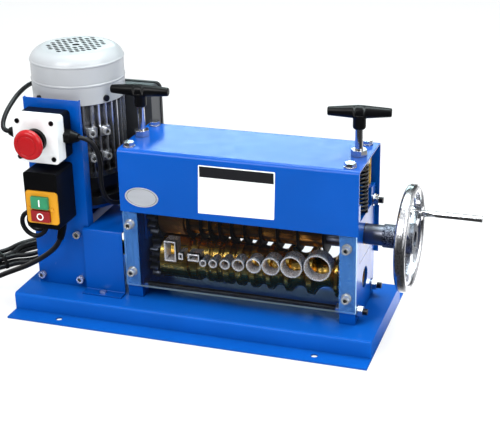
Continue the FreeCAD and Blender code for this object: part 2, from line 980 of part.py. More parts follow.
def topCover():
    bend = "coverBend"
    innerBend = "coverBend - coverSheet"
    frontLow = "guardTopZ + skirtGap"
    backLow = "coverTop - backSkirt"
    sheetOutline = soften([
        ("coverY1", frontLow),
        ("coverY1 + coverSheet", frontLow),
        ("coverY1 + coverSheet", "coverUnder", innerBend),
        ("coverY2 - coverSheet", "coverUnder", innerBend),
        ("coverY2 - coverSheet", backLow),
        ("coverY2", backLow),
        ("coverY2", "coverTop", bend),
        ("coverY1", "coverTop", bend),
    ])
    hood = extruded("YZ_Plane", "coverX1", "coverX2", sheetOutline)
    holes = [bar("z", "pressRadius + gap", "coverUnder - 1", "coverTop + 1", x, "headY")
             for x in ("leftMiddle", "rightMiddle")]
    holes += [bar("z", "coverBoltRadius", "coverUnder - 1", "coverTop + 1", x, y)
              for x, y in coverBoltSpots()]
    node("top_cover", cut(hood, *holes))


def coverBoltSpots():
    return [(x, "headY + %d * coverBoltSpanY / 2" % j)
            for x in ("leftMiddle", "rightMiddle") for j in (-1, 1)]


def coverStandoffs():
    pieces = []
    for x, y in coverBoltSpots():
        post = bar("z", "standoffRadius", "plateTop", "coverUnder", x, y)
        spigot = bar("z", "coverBoltRadius", "plateTop - standoffSpigot", "plateTop + 1", x, y)
        hole = bar("z", "coverBoltRadius", "coverUnder - shankLength", "coverUnder + 1", x, y)
        pieces.append(cut(joined(post, spigot), hole))
    node("cover_standoffs", group(*pieces))


def coverBolts():
    pieces = []
    for x, y in coverBoltSpots():
        washer = bar("z", "coverBoltWasher", "coverTop", "coverTop + coverBoltWasherThick", x, y)
        headLow = "coverTop + coverBoltWasherThick"
        head = prism("z", "coverBoltHead", headLow, headLow + " + coverBoltHeadHeight", x, y)
        shank = bar("z", "coverBoltRadius", "coverUnder - shankLength", headLow + " + 1", x, y)
        pieces.append(joined(washer, head, shank))
    node("cover_bolts", group(*pieces))


def screwNuts():
    pieces = []
    for x in ("leftMiddle", "rightMiddle"):
        nut = prism("z", "pressNutRadius", "coverTop", "coverTop + pressNutHeight", x, "headY")
        hole = bar("z", "pressRadius + fit", "coverTop - 1", "coverTop + pressNutHeight + 1", x, "headY")
        pieces.append(cut(nut, hole))
    node("screw_nuts", group(*pieces))


# clear guard and its sleeves

roundChannels = range(1, 9)


def roundCentre(i):
    return "feedZ + sleeveFloor + roundOuter%d" % i


def boxSleeve(name, shrink, low, high):
    """One of the straight-sided sleeves, or its bore when shrunk by the wall."""
    x1 = "%sX - %sWidth / 2 + %s" % (name, name, shrink)
    x2 = "%sX + %sWidth / 2 - %s" % (name, name, shrink)
    z1 = "feedZ + %sZ - %sHeight / 2 + %s" % (name, name, shrink)
    z2 = "feedZ + %sZ + %sHeight / 2 - %s" % (name, name, shrink)
    return block((x1, x2), (low, high), (z1, z2))


def guideSleeves():
    pieces = []
    for name in ("tall", "small", "wide"):
        outer = boxSleeve(name, "0", "sleeveFront", "sleeveBack")
        bore = boxSleeve(name, "sleeveWall", "sleeveFront - 1", "sleeveBack + 1")
        pieces.append(cut(outer, bore))
    for i in roundChannels:
        x = "roundX%d" % i
        outer = bar("y", "roundOuter%d" % i, "sleeveFront", "sleeveBack", x, roundCentre(i))
        bore = bar("y", "roundOuter%d - sleeveWall" % i, "sleeveFront - 1", "sleeveBack + 1",
                   x, roundCentre(i))
        pieces.append(cut(outer, bore))
    node("guide_sleeves", group(*pieces))


def guardScrewSpots():
    return [(x, "baseHeight + " + z) for x in ("leftMiddle", "rightMiddle")
            for z in ("guardScrewLow", "guardScrewHigh")]


def clearGuard():
    sheetPiece = block(("leftPlateX", "rightOuter + guardRight"), ("guardFront", "plateFront"),
                       ("guardLowZ", "guardTopZ"))
    low, high = "guardFront - 1", "plateFront + 1"
    tools = [boxSleeve(name, "0", low, high) for name in ("tall", "small", "wide")]
    tools += [bar("y", "roundOuter%d" % i, low, high, "roundX%d" % i, roundCentre(i))
              for i in roundChannels]
    tools += [bar("y", "shankRadius", low, high, x, z) for x, z in guardScrewSpots()]
    node("clear_guard", cut(sheetPiece, *tools))


def capScrew(face, x, z, high, washer):
    """A socket cap screw along +Y whose washer or head sits on a face."""
    under = "%s - capWasherThick" % face if washer else face
    head = bar("y", "capRadius", "%s - %s" % (under, high), under, x, z)
    shank = bar("y", "shankRadius", "%s - 1" % under, "%s + shankLength" % face, x, z)
    parts = [head, shank]
    if washer:
        parts.append(bar("y", "capWasher", under, face, x, z))
    hexagon = prism("y", "capHex", "%s - %s - 1" % (under, high), "%s - %s / 2" % (under, high), x, z)
    return cut(joined(*parts), hexagon)


def capScrews():
    pieces = [capScrew("guardFront", x, z, "guardCapHeight", True) for x, z in guardScrewSpots()]
    pieces += [capScrew("panelFront", x, z, "capHeight", False) for x, z in panelScrewSpots()]
    pieces += [padScrew(angle, z) for angle in ("padAngleA", "padAngleB")
               for z in ("padZLow", "padZHigh")]
    node("cap_screws", group(*pieces))


def padScrew(angle, z):
    """A socket screw with its head on a motor pad, along the pad's own radius."""
    head = bar("x", "capRadius", "padReach", "padReach + capHeight", "0", z)
    shank = bar("x", "shankRadius", "padReach - shankLength / 2", "padReach + 1", "0", z)
    hexagon = prism("x", "capHex", "padReach + capHeight / 2", "padReach + capHeight + 1", "0", z)
    return swung(cut(joined(head, shank), hexagon), num(angle), "motorX", "motorY")


# blade shaft

def channelStations():
    return ["smallX", "wideX"] + ["roundX%d" % i for i in roundChannels]


def bladeShaft():
    node("blade_shaft", bar("x", "shaftRadius", "leftPlateX + 1", "wheelX + wheelThick - 2",
                            "headY", "bladeZ"))


def ringOnShaft(radius, low, high):
    outer = bar("x", radius, low, high, "headY", "bladeZ")
    return cut(outer, bar("x", "shaftRadius", "%s - 1" % low, "%s + 1" % high, "headY", "bladeZ"))


def blades():
    discs = []
    for x in channelStations():
        low, high = "%s - bladeThick / 2" % x, "%s + bladeThick / 2" % x
        outline = [
            (low, "shaftRadius"),
            (high, "shaftRadius"),
            (high, "bladeRadius - 3"),
            (x, "bladeRadius"),
            (low, "bladeRadius - 3"),
        ]
        discs.append(turned(outline, "headY", "bladeZ"))
    node("blades", group(*discs))


def bladeSpacers():
    stations = channelStations()
    rings = [ringOnShaft("spacerRadius", "pressRollerEnd", "%s - bladeThick / 2" % stations[0])]
    for before, after in zip(stations, stations[1:]):
        rings.append(ringOnShaft("spacerRadius", "%s + bladeThick / 2" % before,
                                 "%s - bladeThick / 2" % after))
    node("blade_spacers", group(*rings))


def pressRoller():
    node("press_roller", ringOnShaft("pressRollerRadius", "pressRollerStart", "pressRollerEnd"))


def shaftCollars():
    inner = ringOnShaft("collarRadius", "roundX8 + bladeThick / 2", "rightInner - 2 * gap - lipThick")
    outer = ringOnShaft("sleeveCollarRadius", "rightOuter + gap", "hubX")
    left = ringOnShaft("shoulderRadius", "gearStart + gearWidth", "pressRollerStart")
    node("shaft_collars", group(inner, outer, left))


def gear(z, toward, offset):
    """A spur gear with arc flanks through three points of the true involute.

    toward is 1 if the other shaft is above; offset 0 puts a tooth there, 0.5 a space.
    """
    teeth = int(num("gearTeeth"))
    pitch = num("shaftSpacing / 2")
    module = 2 * pitch / teeth
    pressure = math.radians(20)
    baseR = pitch * math.cos(pressure)
    tip = pitch + num("gearTip") * module
    root = pitch - num("gearRoot") * module
    half = math.pi / (2 * teeth) - num("gearBacklash") / (2 * pitch)

    def spread(radius):
        """The half angle of a tooth at a radius."""
        if radius <= baseR:
            radius = baseR
        roll = math.acos(baseR / radius)
        flat = math.tan(pressure) - pressure
        return half + flat - (math.tan(roll) - roll)

    def spot(radius, angle):
        return Vector(0, radius * math.cos(angle), radius * math.sin(angle))
    radii = (baseR + 0.1, (baseR + tip) / 2, tip)
    edges = []
    for i in range(teeth):
        aim = toward * math.pi / 2 + 2 * math.pi * (i + offset) / teeth
        last = aim + 2 * math.pi / teeth
        down = [spot(r, aim - spread(r)) for r in radii]
        up = [spot(r, aim + spread(r)) for r in radii]
        rootIn = spot(root, aim - spread(baseR))
        rootOut = spot(root, aim + spread(baseR))
        nextIn = spot(root, last - spread(baseR))
        edges.append(Part.LineSegment(rootIn, down[0]).toShape())
        edges.append(Part.Arc(*down).toShape())
        edges.append(Part.Arc(down[2], spot(tip, aim), up[2]).toShape())
        edges.append(Part.Arc(up[2], up[1], up[0]).toShape())
        edges.append(Part.LineSegment(up[0], rootOut).toShape())
        edges.append(Part.Arc(rootOut, spot(root, (aim + last) / 2), nextIn).toShape())
    face = Part.Face(Part.Wire(edges))
    blank = face.extrude(Vector(num("gearWidth"), 0, 0))
    hole = Part.makeCylinder(num("shaftRadius"), num("gearWidth") + 2, Vector(-1, 0, 0), Vector(1, 0, 0))
    piece = shaped(blank.cut(hole))
    put(piece, "gearStart", "headY", z)
    return piece


def handwheel():
    face = "wheelX"
    back = "wheelX + wheelThick"
    hub = turned([
        ("hubX", "shaftRadius"),
        (back, "shaftRadius"),
        (back, "hubFlare"),
        ("wheelX + hubStep", "hubFlare"),
        ("wheelX + hubStep - hubSlope", "hubRadius"),
        ("hubX", "hubRadius"),
    ], "headY", "bladeZ")
    rim = turned(soften([
        (face, "wheelRadius - rimWide", "rimRound"),
        (back, "wheelRadius - rimWide", "rimRound"),
        (back, "wheelRadius", "rimRound"),
        (face, "wheelRadius", "rimRound"),
    ]), "headY", "bladeZ")
    spokes = []
    for i in range(3):
        angle = "crankAngle + %d" % (120 * i)
        spoke = doc.addObject("Part::Box", "Spoke")
        bind(spoke, Length="spokeThick", Width="wheelRadius - rimWide / 2 - hubRadius",
             Height="spokeWide")
        spoke.Placement.Rotation = Rotation(Vector(1, 0, 0), num(angle))
        out = "cos(%s)" % angle
        up = "sin(%s)" % angle
        put(spoke, "wheelX + wheelThick / 2 - spokeThick / 2",
            "headY + hubRadius * %s + spokeWide / 2 * %s" % (out, up),
            "bladeZ + hubRadius * %s - spokeWide / 2 * %s" % (up, out))
        spokes.append(spoke)
    boss = bar("x", "crankBoss", face, back, "headY + crankReach * cos(crankAngle)",
               "bladeZ + crankReach * sin(crankAngle)")
    hole = bar("x", "crankRadius", "wheelX + 3", back + " + 1",
               "headY + crankReach * cos(crankAngle)", "bladeZ + crankReach * sin(crankAngle)")
    bore = bar("x", "shaftRadius", "hubX - 1", back + " - 2", "headY", "bladeZ")
    node("handwheel", cut(joined(hub, rim, boss, *spokes), hole, bore))


def crankRod():
    node("crank_rod", bar("x", "crankRadius", "wheelX + 3", "crankEnd",
                          "headY + crankReach * cos(crankAngle)",
                          "bladeZ + crankReach * sin(crankAngle)"))


# feed roller

def feedRoller():
    """One turned bar: journals, shoulders, the flat land and a groove for each channel."""
    reach = "rollerRadius"
    corners = [
        ("motorX - wheelRoomWide - 1", "0"),
        ("rightOuter - 5", "0"),
        ("rightOuter - 5", "shaftRadius"),
        ("rightInner - gap", "shaftRadius"),
        ("rightInner - gap", "shoulderRadius"),
        ("rollerEnd", "shoulderRadius"),
        ("rollerEnd", reach),
    ]
    for i in reversed(roundChannels):
        x = "roundX%d" % i
        arc = "(roundOuter%d - sleeveWall)" % i
        centre = "(roundDepth%d + %s)" % (i, arc)
        half = "sqrt(%s ^ 2 - (%s - %s) ^ 2)" % (arc, centre, reach)
        corners.append(("%s + %s" % (x, half), reach, arc, -1))
        corners.append(("%s - %s" % (x, half), reach))
    for name in ("wide", "small"):
        top = "%sWidth / 2 - sleeveWall / 2" % name
        foot = "%sWidth / 2 - sleeveWall" % name
        corners.append(("%sX + %s" % (name, top), reach))
        corners.append(("%sX + %s" % (name, foot), "%sDepth" % name))
        corners.append(("%sX - (%s)" % (name, foot), "%sDepth" % name))
        corners.append(("%sX - (%s)" % (name, top), reach))
    corners += [
        ("rollerStart", reach),
        ("rollerStart", "shoulderRadius"),
        ("gearStart + gearWidth", "shoulderRadius"),
        ("gearStart + gearWidth", "shaftRadius"),
        ("motorX - wheelRoomWide - 1", "shaftRadius"),
    ]
    node("feed_roller", turned(corners, "headY", "feedZ"))


# gearbox

def wormWheel():
    """A wheel with slanted teeth that mesh with the worm with some backlash."""
    teeth = int(num("wormWheelTeeth"))
    module = num("wormModule")
    pitch = num("wheelPitch")
    lead = math.atan(module * num("wormStarts") / (2 * num("wormPitch")))
    wide = num("wheelWide")
    twist = wide * math.tan(lead) / pitch
    tip = pitch + num("wormTip") * module
    root = pitch - num("wormRoot") * module
    tipHalf = (math.pi * module / 4 - 0.30 * module - num("wormBacklash") / 4) / tip
    rootHalf = (math.pi * module / 4 + 0.38 * module - num("wormBacklash") / 4) / root

    def ring(shift, x):
        points = []
        for i in range(teeth):
            middle = 2 * math.pi * i / teeth + shift
            for radius, angle in ((root, -rootHalf), (tip, -tipHalf), (tip, tipHalf), (root, rootHalf)):
                points.append(Vector(x, radius * math.cos(middle + angle), radius * math.sin(middle + angle)))
        return Part.makePolygon(points + points[:1])
    rings = [ring((share - 0.5) * twist, (share - 0.5) * wide) for share in (0, 0.5, 1)]
    blank = Part.makeLoft(rings, True, True)
    hole = Part.makeCylinder(num("shaftRadius"), wide + 2, Vector(-wide / 2 - 1, 0, 0), Vector(1, 0, 0))
    piece = shaped(blank.cut(hole))
    put(piece, "motorX", "headY", "feedZ")
    node("worm_wheel", piece)


def motorRotor():
    """The motor's shaft with its rotor core, and the worm cut on its lower end."""
    module = num("wormModule")
    pitch = num("wormPitch")
    tip = pitch + num("wormTip") * module
    root = pitch - num("wormRoot") * module
    lead = math.pi * module * num("wormStarts")
    length = num("wormLength")
    low = num("feedZ") - length / 2
    half = math.pi * module / 4 - num("wormBacklash") / 4
    shaft = Part.makeCylinder(root, length + 2, Vector(0, 0, low - 1))
    # a space of the thread faces the wheel's tooth, on the worm's front
    base = low + module
    first = 360 * (base - num("feedZ") + math.pi * module / 2) / lead - 90
    threads = []
    for start in range(int(num("wormStarts"))):
        angle = first + 360 * start / num("wormStarts")
        helix = Part.makeHelix(lead, length - 2 * module, (root + tip) / 2)
        points = [
            Vector(root - 0.4, 0, -half - 0.45 * module),
            Vector(tip, 0, -half + 0.30 * module),
            Vector(tip, 0, half - 0.30 * module),
            Vector(root - 0.4, 0, half + 0.45 * module),
        ]
        profile = Part.makePolygon(points + points[:1])
        thread = Part.Wire(helix.Edges).makePipeShell([profile], True, True)
        thread.translate(Vector(0, 0, base))
        thread.rotate(Vector(0, 0, 0), Vector(0, 0, 1), angle)
        threads.append(thread)
    worm = shaft.fuse(threads)
    stem = Part.makeCylinder(num("motorShaft"), num("fanZ + fanHeight") - low - length,
                             Vector(0, 0, low + length))
    core = Part.makeCylinder(num("rotorRadius"), num("rotorHeight"), Vector(0, 0, num("rotorZ")))
    tail = Part.makeCylinder(num("motorShaft") - 1, num("wormTail") + 2, Vector(0, 0, low - num("wormTail")))
    piece = shaped(worm.fuse([stem, core, tail]).removeSplitter())
    put(piece, "motorX", "motorY", "0")
    node("motor_rotor", piece)


def panelScrewSpots():
    return [("panelScrewX1", "baseHeight + panelScrewHigh"),
            ("panelScrewX1", "baseHeight + panelScrewLow"),
            ("panelScrewX2", "baseHeight + panelScrewLow")]


def gearboxCase():
    x = ("motorX - caseRight", "motorX + caseRight")
    y = ("headY - caseFront", "headY + caseBack")
    body = extruded("XY_Plane", "baseHeight", "caseTop", rectangle(x[0], x[1], y[0], y[1], "caseRound"))
    foot = block(("motorX - caseLeft", x[1]), y, ("baseHeight", "baseHeight + footHeight + panelScrewLow"))
    flange = bar("z", "inputRadius", "flangeZ - inputThick", "flangeZ", "motorX", "motorY")
    neck = bar("z", "inputRadius - 25", "caseTop - 1", "flangeZ - inputThick + 1", "motorX", "motorY")
    bosses = [bar("y", "panelBoss", "panelFront + panelSheet", y[0] + " + 1", sx, sz)
              for sx, sz in panelScrewSpots()]
    holes = [bar("y", "shankRadius", "panelFront", "panelFront + shankLength", sx, sz)
             for sx, sz in panelScrewSpots()]
    wormRoom = bar("z", "wormRoom", "feedZ - wormLength / 2 - 10", "feedZ + wormLength / 2 + 2",
                   "motorX", "motorY")
    inputHole = bar("z", "motorShaft + gap", "feedZ", "flangeZ + 1", "motorX", "motorY")
    wheelRoom = bar("x", "wheelRoom", "motorX - wheelRoomWide / 2", "motorX + wheelRoomWide / 2",
                    "headY", "feedZ")
    shaftHole = bar("x", "shaftRadius + fit", "motorX - wheelRoomWide - 2", "%s + 1" % x[1],
                    "headY", "feedZ")
    node("gearbox_case", cut(joined(body, foot, flange, neck, *bosses),
                             wormRoom, inputHole, wheelRoom, shaftHole, *holes))


def gearCover():
    front = "gearCoverFront"
    inner = "gearCoverFront + panelSheet"
    back = "gearCoverFront + gearCoverDepth"
    top = "gearCoverTop"
    toe = "gearCoverFront - gearCoverFoot"
    innerBend = "gearCoverBend - panelSheet"
    outline = soften([
        (toe, "baseHeight"),
        (inner, "baseHeight", "gearCoverBend"),
        (inner, top + " - panelSheet", innerBend),
        (back, top + " - panelSheet"),
        (back, top),
        (front, top, "gearCoverBend"),
        (front, "baseHeight + panelSheet", innerBend),
        (toe, "baseHeight + panelSheet"),
    ])
    hood = extruded("YZ_Plane", "gearCoverLeft", "gearCoverRight", outline)
    hole = bar("z", "panShank", "baseHeight - 1", "baseHeight + panelSheet + 1",
               "gearScrewX", "gearScrewY")
    notch = block(("gearCoverLeft - 1", "panelRight + gap"), ("panelFront - gap", back + " + 1"),
                  ("baseHeight - 1", "gearCoverTop + 1"))
    node("gear_cover", cut(hood, hole, notch))


def stopScrewSpots():
    return [("stopX + %d * stopScrewReach" % i, "stopZ + %d * stopScrewReach" % j)
            for i in (-1, 1) for j in (-1, 1)]


fanScrewAngles = (-30, 60, 150, 240)


def fanScrewShank():
    return bar("x", "panShank", "fanCoverRadius - panShankLength", "fanCoverRadius + 1", "0",
               "fanScrewZ")


def panScrews():
    """Small pan screws: the gear cover's, the stop lid's and the fan cover's."""
    top = "baseHeight + panelSheet"
    pieces = [joined(bar("z", "panHead", top, top + " + panHeight", "gearScrewX", "gearScrewY"),
                     bar("z", "panShank", "baseHeight", top + " + 1", "gearScrewX", "gearScrewY"))]
    for x, z in stopScrewSpots():
        face = "stopLidFront"
        pieces.append(joined(bar("y", "panHead - 1", face + " - panHeight / 2", face, x, z),
                             bar("y", "panShank", face + " - 1", face + " + panShankLength", x, z)))
    head = bar("x", "panHead", "fanCoverRadius - fanScrewFlat", "fanCoverRadius + panHeight", "0",
               "fanScrewZ")
    shank = fanScrewShank()
    pieces += [swung(joined(head, shank), angle, "motorX", "motorY") for angle in fanScrewAngles]
    node("pan_screws", group(*pieces))


# motor

def motorFlange():
    """The drive end: flange, neck and end shield in one casting."""
    body = spun([
        ("motorShaft + fit", "flangeZ"),
        ("flangeRadius", "flangeZ"),
        ("flangeRadius", "flangeZ + flangeThick"),
        ("neckShieldRadius", "flangeZ + flangeThick"),
        ("neckShieldRadius", "shieldZ - 3"),
        ("bodyRadius", "shieldZ"),
        ("bodyRadius", "bodyZ"),
        ("motorShaft + fit", "bodyZ"),
    ], "motorX", "motorY")
    node("motor_flange", body)


def motorFrame():
    """The finned frame around the winding, closed at the fan end."""
    body = doc.addObject("PartDesign::Body", "Body")
    core = sketchOn(body, "XZ_Plane")
    trace(core, [
        ("motorShaft + fit", "bodyTop - endRing"),
        ("motorShaft + fit", "bodyTop + spigot"),
        ("bodyRadius", "bodyTop + spigot"),
        ("bodyRadius", "bodyTop"),
        ("coreRadius", "bodyTop"),
        ("coreRadius", "bodyZ + endRing"),
        ("bodyRadius", "bodyZ + endRing"),
        ("bodyRadius", "bodyZ"),
        ("boreRadius", "bodyZ"),
        ("boreRadius", "bodyTop - endRing"),
    ])
    spin = body.newObject("PartDesign::Revolution", "Revolution")
    spin.Profile = core
    spin.ReferenceAxis = (core, ["V_Axis"])
    spin.Angle = 360
    fin = sketchOn(body, "XY_Plane", "bodyZ + endRing / 2")
    trace(fin, rectangle("coreRadius - finRoot", "bodyRadius - gap", "-finThick / 2", "finThick / 2"))
    pad = feature(body, "Pad", fin, Length="bodyHeight")
    pattern = body.newObject("PartDesign::PolarPattern", "Fins")
    pattern.Originals = [pad]
    pattern.Axis = ([f for f in body.Origin.OriginFeatures if f.Role == "Z_Axis"][0], [""])
    pattern.Angle = 360
    bind(pattern, Occurrences="finCount")
    body.Tip = pattern
    put(body, "motorX", "motorY", "0")
    pads = []
    holes = []
    for angle in ("padAngleA", "padAngleB"):
        for z in ("padZLow", "padZHigh"):
            lug = block(("coreRadius - finRoot", "padReach"), ("-padWide / 2", "padWide / 2"),
                        ("%s - padHigh / 2" % z, "%s + padHigh / 2" % z))
            hole = bar("x", "shankRadius", "padReach - shankLength / 2", "padReach + 1", "0", z)
            pads.append(swung(lug, num(angle), "motorX", "motorY"))
            holes.append(swung(hole, num(angle), "motorX", "motorY"))
    holes += [swung(fanScrewShank(), angle, "motorX", "motorY") for angle in fanScrewAngles]
    node("motor_frame", cut(joined(body, *pads), *holes))


def grille():
    """The hood's slots: staggered rows kept clear of the rim and of the round centre hole."""
    long, wide = num("grilleLong"), num("grilleWide")
    deep = 4 * num("fanCoverWall")
    rows = int(num("grilleRadius / grilleRow"))
    slots = []
    for j in range(-rows, rows + 1):
        for i in range(-2 * rows, 2 * rows):
            x = (i + 0.5) * num("grillePitch") + j * num("grilleShift")
            y = -j * num("grilleRow")
            if math.hypot(x, y) < num("grilleHole") + long:
                continue
            if math.hypot(abs(x) + long / 2, abs(y) + wide / 2) < num("grilleRadius"):
                slots.append(Part.makeBox(long, wide, deep, Vector(x - long / 2, y - wide / 2, -deep / 2)))
    grid = shaped(Part.makeCompound(slots))
    grid.Placement.Rotation = Rotation(Vector(0, 0, 1), num("grilleTurn"))
    put(grid, "motorX", "motorY", "fanCoverTop")
    return grid


def fanCover():
    """A pressed hood with two beads, a domed shoulder and a slotted top."""
    outer = "fanCoverRadius"
    inner = "fanCoverRadius - fanCoverWall"
    top = "fanCoverTop"
    under = "fanCoverTop - fanCoverWall"
    corners = [(outer, "bodyTop")]
    for z in ("fanBeadZ1", "fanBeadZ2"):
        corners += [(outer, z + " - 2 * fanBead", "2.5 * fanBead", 1), (outer, z + " + 2 * fanBead")]
    shoulder = corners.pop()
    corners += [
        shoulder + ("fanShoulder", 1),
        ("fanFlat", top),
        ("0", top),
        ("0", under),
        ("fanFlat - fanCoverWall / 2", under, "fanShoulder - fanCoverWall", -1),
        (inner, shoulder[1]),
        (inner, "bodyTop"),
    ]
    hood = spun(corners, "motorX", "motorY")
    centre = bar("z", "grilleHole", under + " - 1", top + " + 1", "motorX", "motorY")
    holes = [swung(fanScrewShank(), angle, "motorX", "motorY") for angle in fanScrewAngles]
    flats = [swung(block(("fanCoverRadius - fanScrewFlat", "fanCoverRadius + 2"), ("-panHead", "panHead"),
                         ("fanScrewZ - panHead", "fanScrewZ + panHead")),
                   angle, "motorX", "motorY") for angle in fanScrewAngles]
    node("fan_cover", cut(hood, grille(), centre, *holes, *flats))


def coolingFan():
    hub = bar("z", "fanHub", "fanZ", "fanZ + fanHeight", "0", "0")
    disc = bar("z", "fanRadius - 6", "fanZ", "fanZ + 2", "0", "0")
    vanes = []
    for i in range(int(num("fanBlades"))):
        vane = block(("fanHub - 2", "fanRadius"), ("-fanBladeThick / 2", "fanBladeThick / 2"),
                     ("fanZ", "fanZ + fanHeight - 3"))
        vane.Placement.Rotation = Rotation(Vector(0, 0, 1), 360 * i / num("fanBlades"))
        angle = "%d * 360 / fanBlades" % i
        put(vane, "(fanHub - 2) * cos(%s) + fanBladeThick / 2 * sin(%s)" % (angle, angle),
            "(fanHub - 2) * sin(%s) - fanBladeThick / 2 * cos(%s)" % (angle, angle), "fanZ")
        vanes.append(vane)
    hole = bar("z", "motorShaft", "fanZ - 1", "fanZ + fanHeight + 1", "0", "0")
    piece = cut(joined(hub, disc, *vanes), hole)
    put(piece, "motorX", "motorY", "0")
    node("cooling_fan", piece)


def terminalBox():
    outer = extruded("XZ_Plane", "terminalFront", "terminalBack",
                     rectangle("terminalLeft", "terminalRight", "terminalLow", "terminalHigh",
                               "terminalRound"))
    saddle = bar("z", "bodyRadius", "terminalLow - 1", "terminalHigh + 1", "motorX", "motorY")
    hoodRoom = bar("z", "fanCoverRadius + gap", "bodyTop - gap", "terminalHigh + 1", "motorX", "motorY")
    room = block(("terminalLeft + terminalWall", "terminalRight - terminalWall"),
                 ("motorY + bodyRadius + terminalWall", "terminalBack + 1"),
                 ("terminalLow + terminalWall", "terminalHigh - terminalWall"))
    node("terminal_box", cut(outer, saddle, hoodRoom, room))
    lid = extruded("XZ_Plane", "terminalBack", "terminalBack + terminalLid",
                   rectangle("terminalLeft - 1", "terminalRight + 1", "terminalLow - 1",
                             "terminalHigh + 1", "terminalRound"))
    node("terminal_lid", lid)


# control panel

def controlPanel():
    back = "panelFront + panelSheet"
    front = block(("panelLeft", "panelRight"), ("panelFront", back), ("baseHeight", "panelTop"))
    sides = []
    for low, high, foot in (("panelRight - panelSheet", "panelRight", "baseHeight"),
                            ("panelLeft", "panelLeft + panelSheet", "baseHeight + leftReturnLow")):
        sides.append(block((low, high), ("panelFront", "panelFront + returnDeep"),
                           (foot, "returnStep")))
        sides.append(block((low, high), ("panelFront", "panelFront + returnShallow"),
                           ("returnStep - 1", "panelTop")))
    holes = [bar("y", "shankRadius", "panelFront - 1", back + " + 1", x, z)
             for x, z in panelScrewSpots()]
    node("control_panel", cut(joined(front, *sides), *holes))


def stopBox():
    x = ("stopX - stopWide / 2", "stopX + stopWide / 2")
    z = ("stopZ - stopHigh / 2", "stopZ + stopHigh / 2")
    room = (("%s + stopWall" % x[0], "%s - stopWall" % x[1]),
            ("%s + stopWall" % z[0], "%s - stopWall" % z[1]))
    base = extruded("XZ_Plane", "stopBaseFront", "panelFront", rectangle(*x, *z, "stopRound"))
    hollow = block(room[0], ("stopBaseFront - 1", "panelFront - stopWall"), room[1])
    node("estop_base", cut(base, hollow))
    lid = extruded("XZ_Plane", "stopLidFront", "stopBaseFront", rectangle(*x, *z, "stopRound"))
    lidRoom = block(room[0], ("stopLidFront + stopWall", "stopBaseFront + 1"), room[1])
    hole = bar("y", "stopStem + gap", "stopLidFront - 1", "stopBaseFront", "stopX", "stopZ")
    posts = []
    for sx, sz in stopScrewSpots():
        posts.append(bar("y", "panShank + stopPostWall", "stopLidFront + 1", "stopBaseFront", sx, sz))
    threads = [bar("y", "panShank", "stopLidFront - 1", "stopLidFront + panShankLength", sx, sz)
               for sx, sz in stopScrewSpots()]
    node("estop_lid", cut(joined(cut(lid, lidRoom), *posts), hole, *threads))
    ring = bar("y", "stopCollarRadius", "stopCollarFront", "stopLidFront", "stopX", "stopZ")
    ringHole = bar("y", "stopStem + gap", "stopCollarFront - 1", "stopLidFront + 1", "stopX", "stopZ")
    node("estop_collar", cut(ring, ringHole))


def stopButton():
    face = "stopCollarFront - stopGapY"
    deep = "stopLidFront + stopWall + 6"
    stem = bar("y", "stopStem", face, deep, "stopX", "stopZ")
    node("estop_stem", stem)
    head = doc.addObject("PartDesign::Body", "Body")
    sketch = sketchOn(head, "XY_Plane")
    front = "%s - mushroomDeep" % face
    trace(sketch, [
        ("0", front),
        ("mushroomRadius - 5", front + " + 0.8"),
        ("mushroomRadius", front + " + 5"),
        ("mushroomRadius", face + " - 4"),
        ("stopStem + 4", face),
        ("0", face),
    ])
    spin = head.newObject("PartDesign::Revolution", "Revolution")
    spin.Profile = sketch
    spin.ReferenceAxis = (sketch, ["V_Axis"])
    spin.Angle = 360
    put(head, "stopX", "0", "stopZ")
    node("estop_button", head)


def cableGlands():
    """A gland on each side of the stop box and the mains cord's strain relief at the switch."""
    pieces = []
    for side in (-1, 1):
        wall = "stopX + (%d) * stopWide / 2" % side
        nutEnd = "%s + (%d) * glandNut" % (wall, side)
        domeEnd = "%s + (%d) * (glandNut + glandDome)" % (wall, side)
        if side > 0:
            nut = prism("x", "glandRadius + 1", wall, nutEnd, "glandY", "stopZ")
            dome = cone("x", "glandRadius", "leadRadius + 2", nutEnd, domeEnd, "glandY", "stopZ")
        else:
            nut = prism("x", "glandRadius + 1", nutEnd, wall, "glandY", "stopZ")
            dome = cone("x", "leadRadius + 2", "glandRadius", domeEnd, nutEnd, "glandY", "stopZ")
        pieces.append(joined(nut, dome))
    node("cable_glands", group(*pieces, strainRelief()))


def reliefSpine():
    start = Vector(num("mainsX"), num("mainsY"), num("switchLow"))
    drop = Vector(-num("reliefLean"), 0, -num("reliefDrop"))
    return arcFrom(start, Vector(0, 0, -1), start + drop)


def strainRelief():
    """A tapered sleeve under the switch that bends the way the mains cord leaves."""
    spine = reliefSpine()
    rings = []
    for share in (0, 0.25, 0.5, 0.75, 1):
        at = spine.FirstParameter + share * (spine.LastParameter - spine.FirstParameter)
        wall = num("reliefWall") + share * num("reliefTipWall - reliefWall")
        circle = Part.makeCircle(num("mainsRadius") + wall, spine.valueAt(at), spine.tangentAt(at))
        rings.append(Part.Wire([circle]))
    return shaped(Part.makeLoft(rings, True, False))


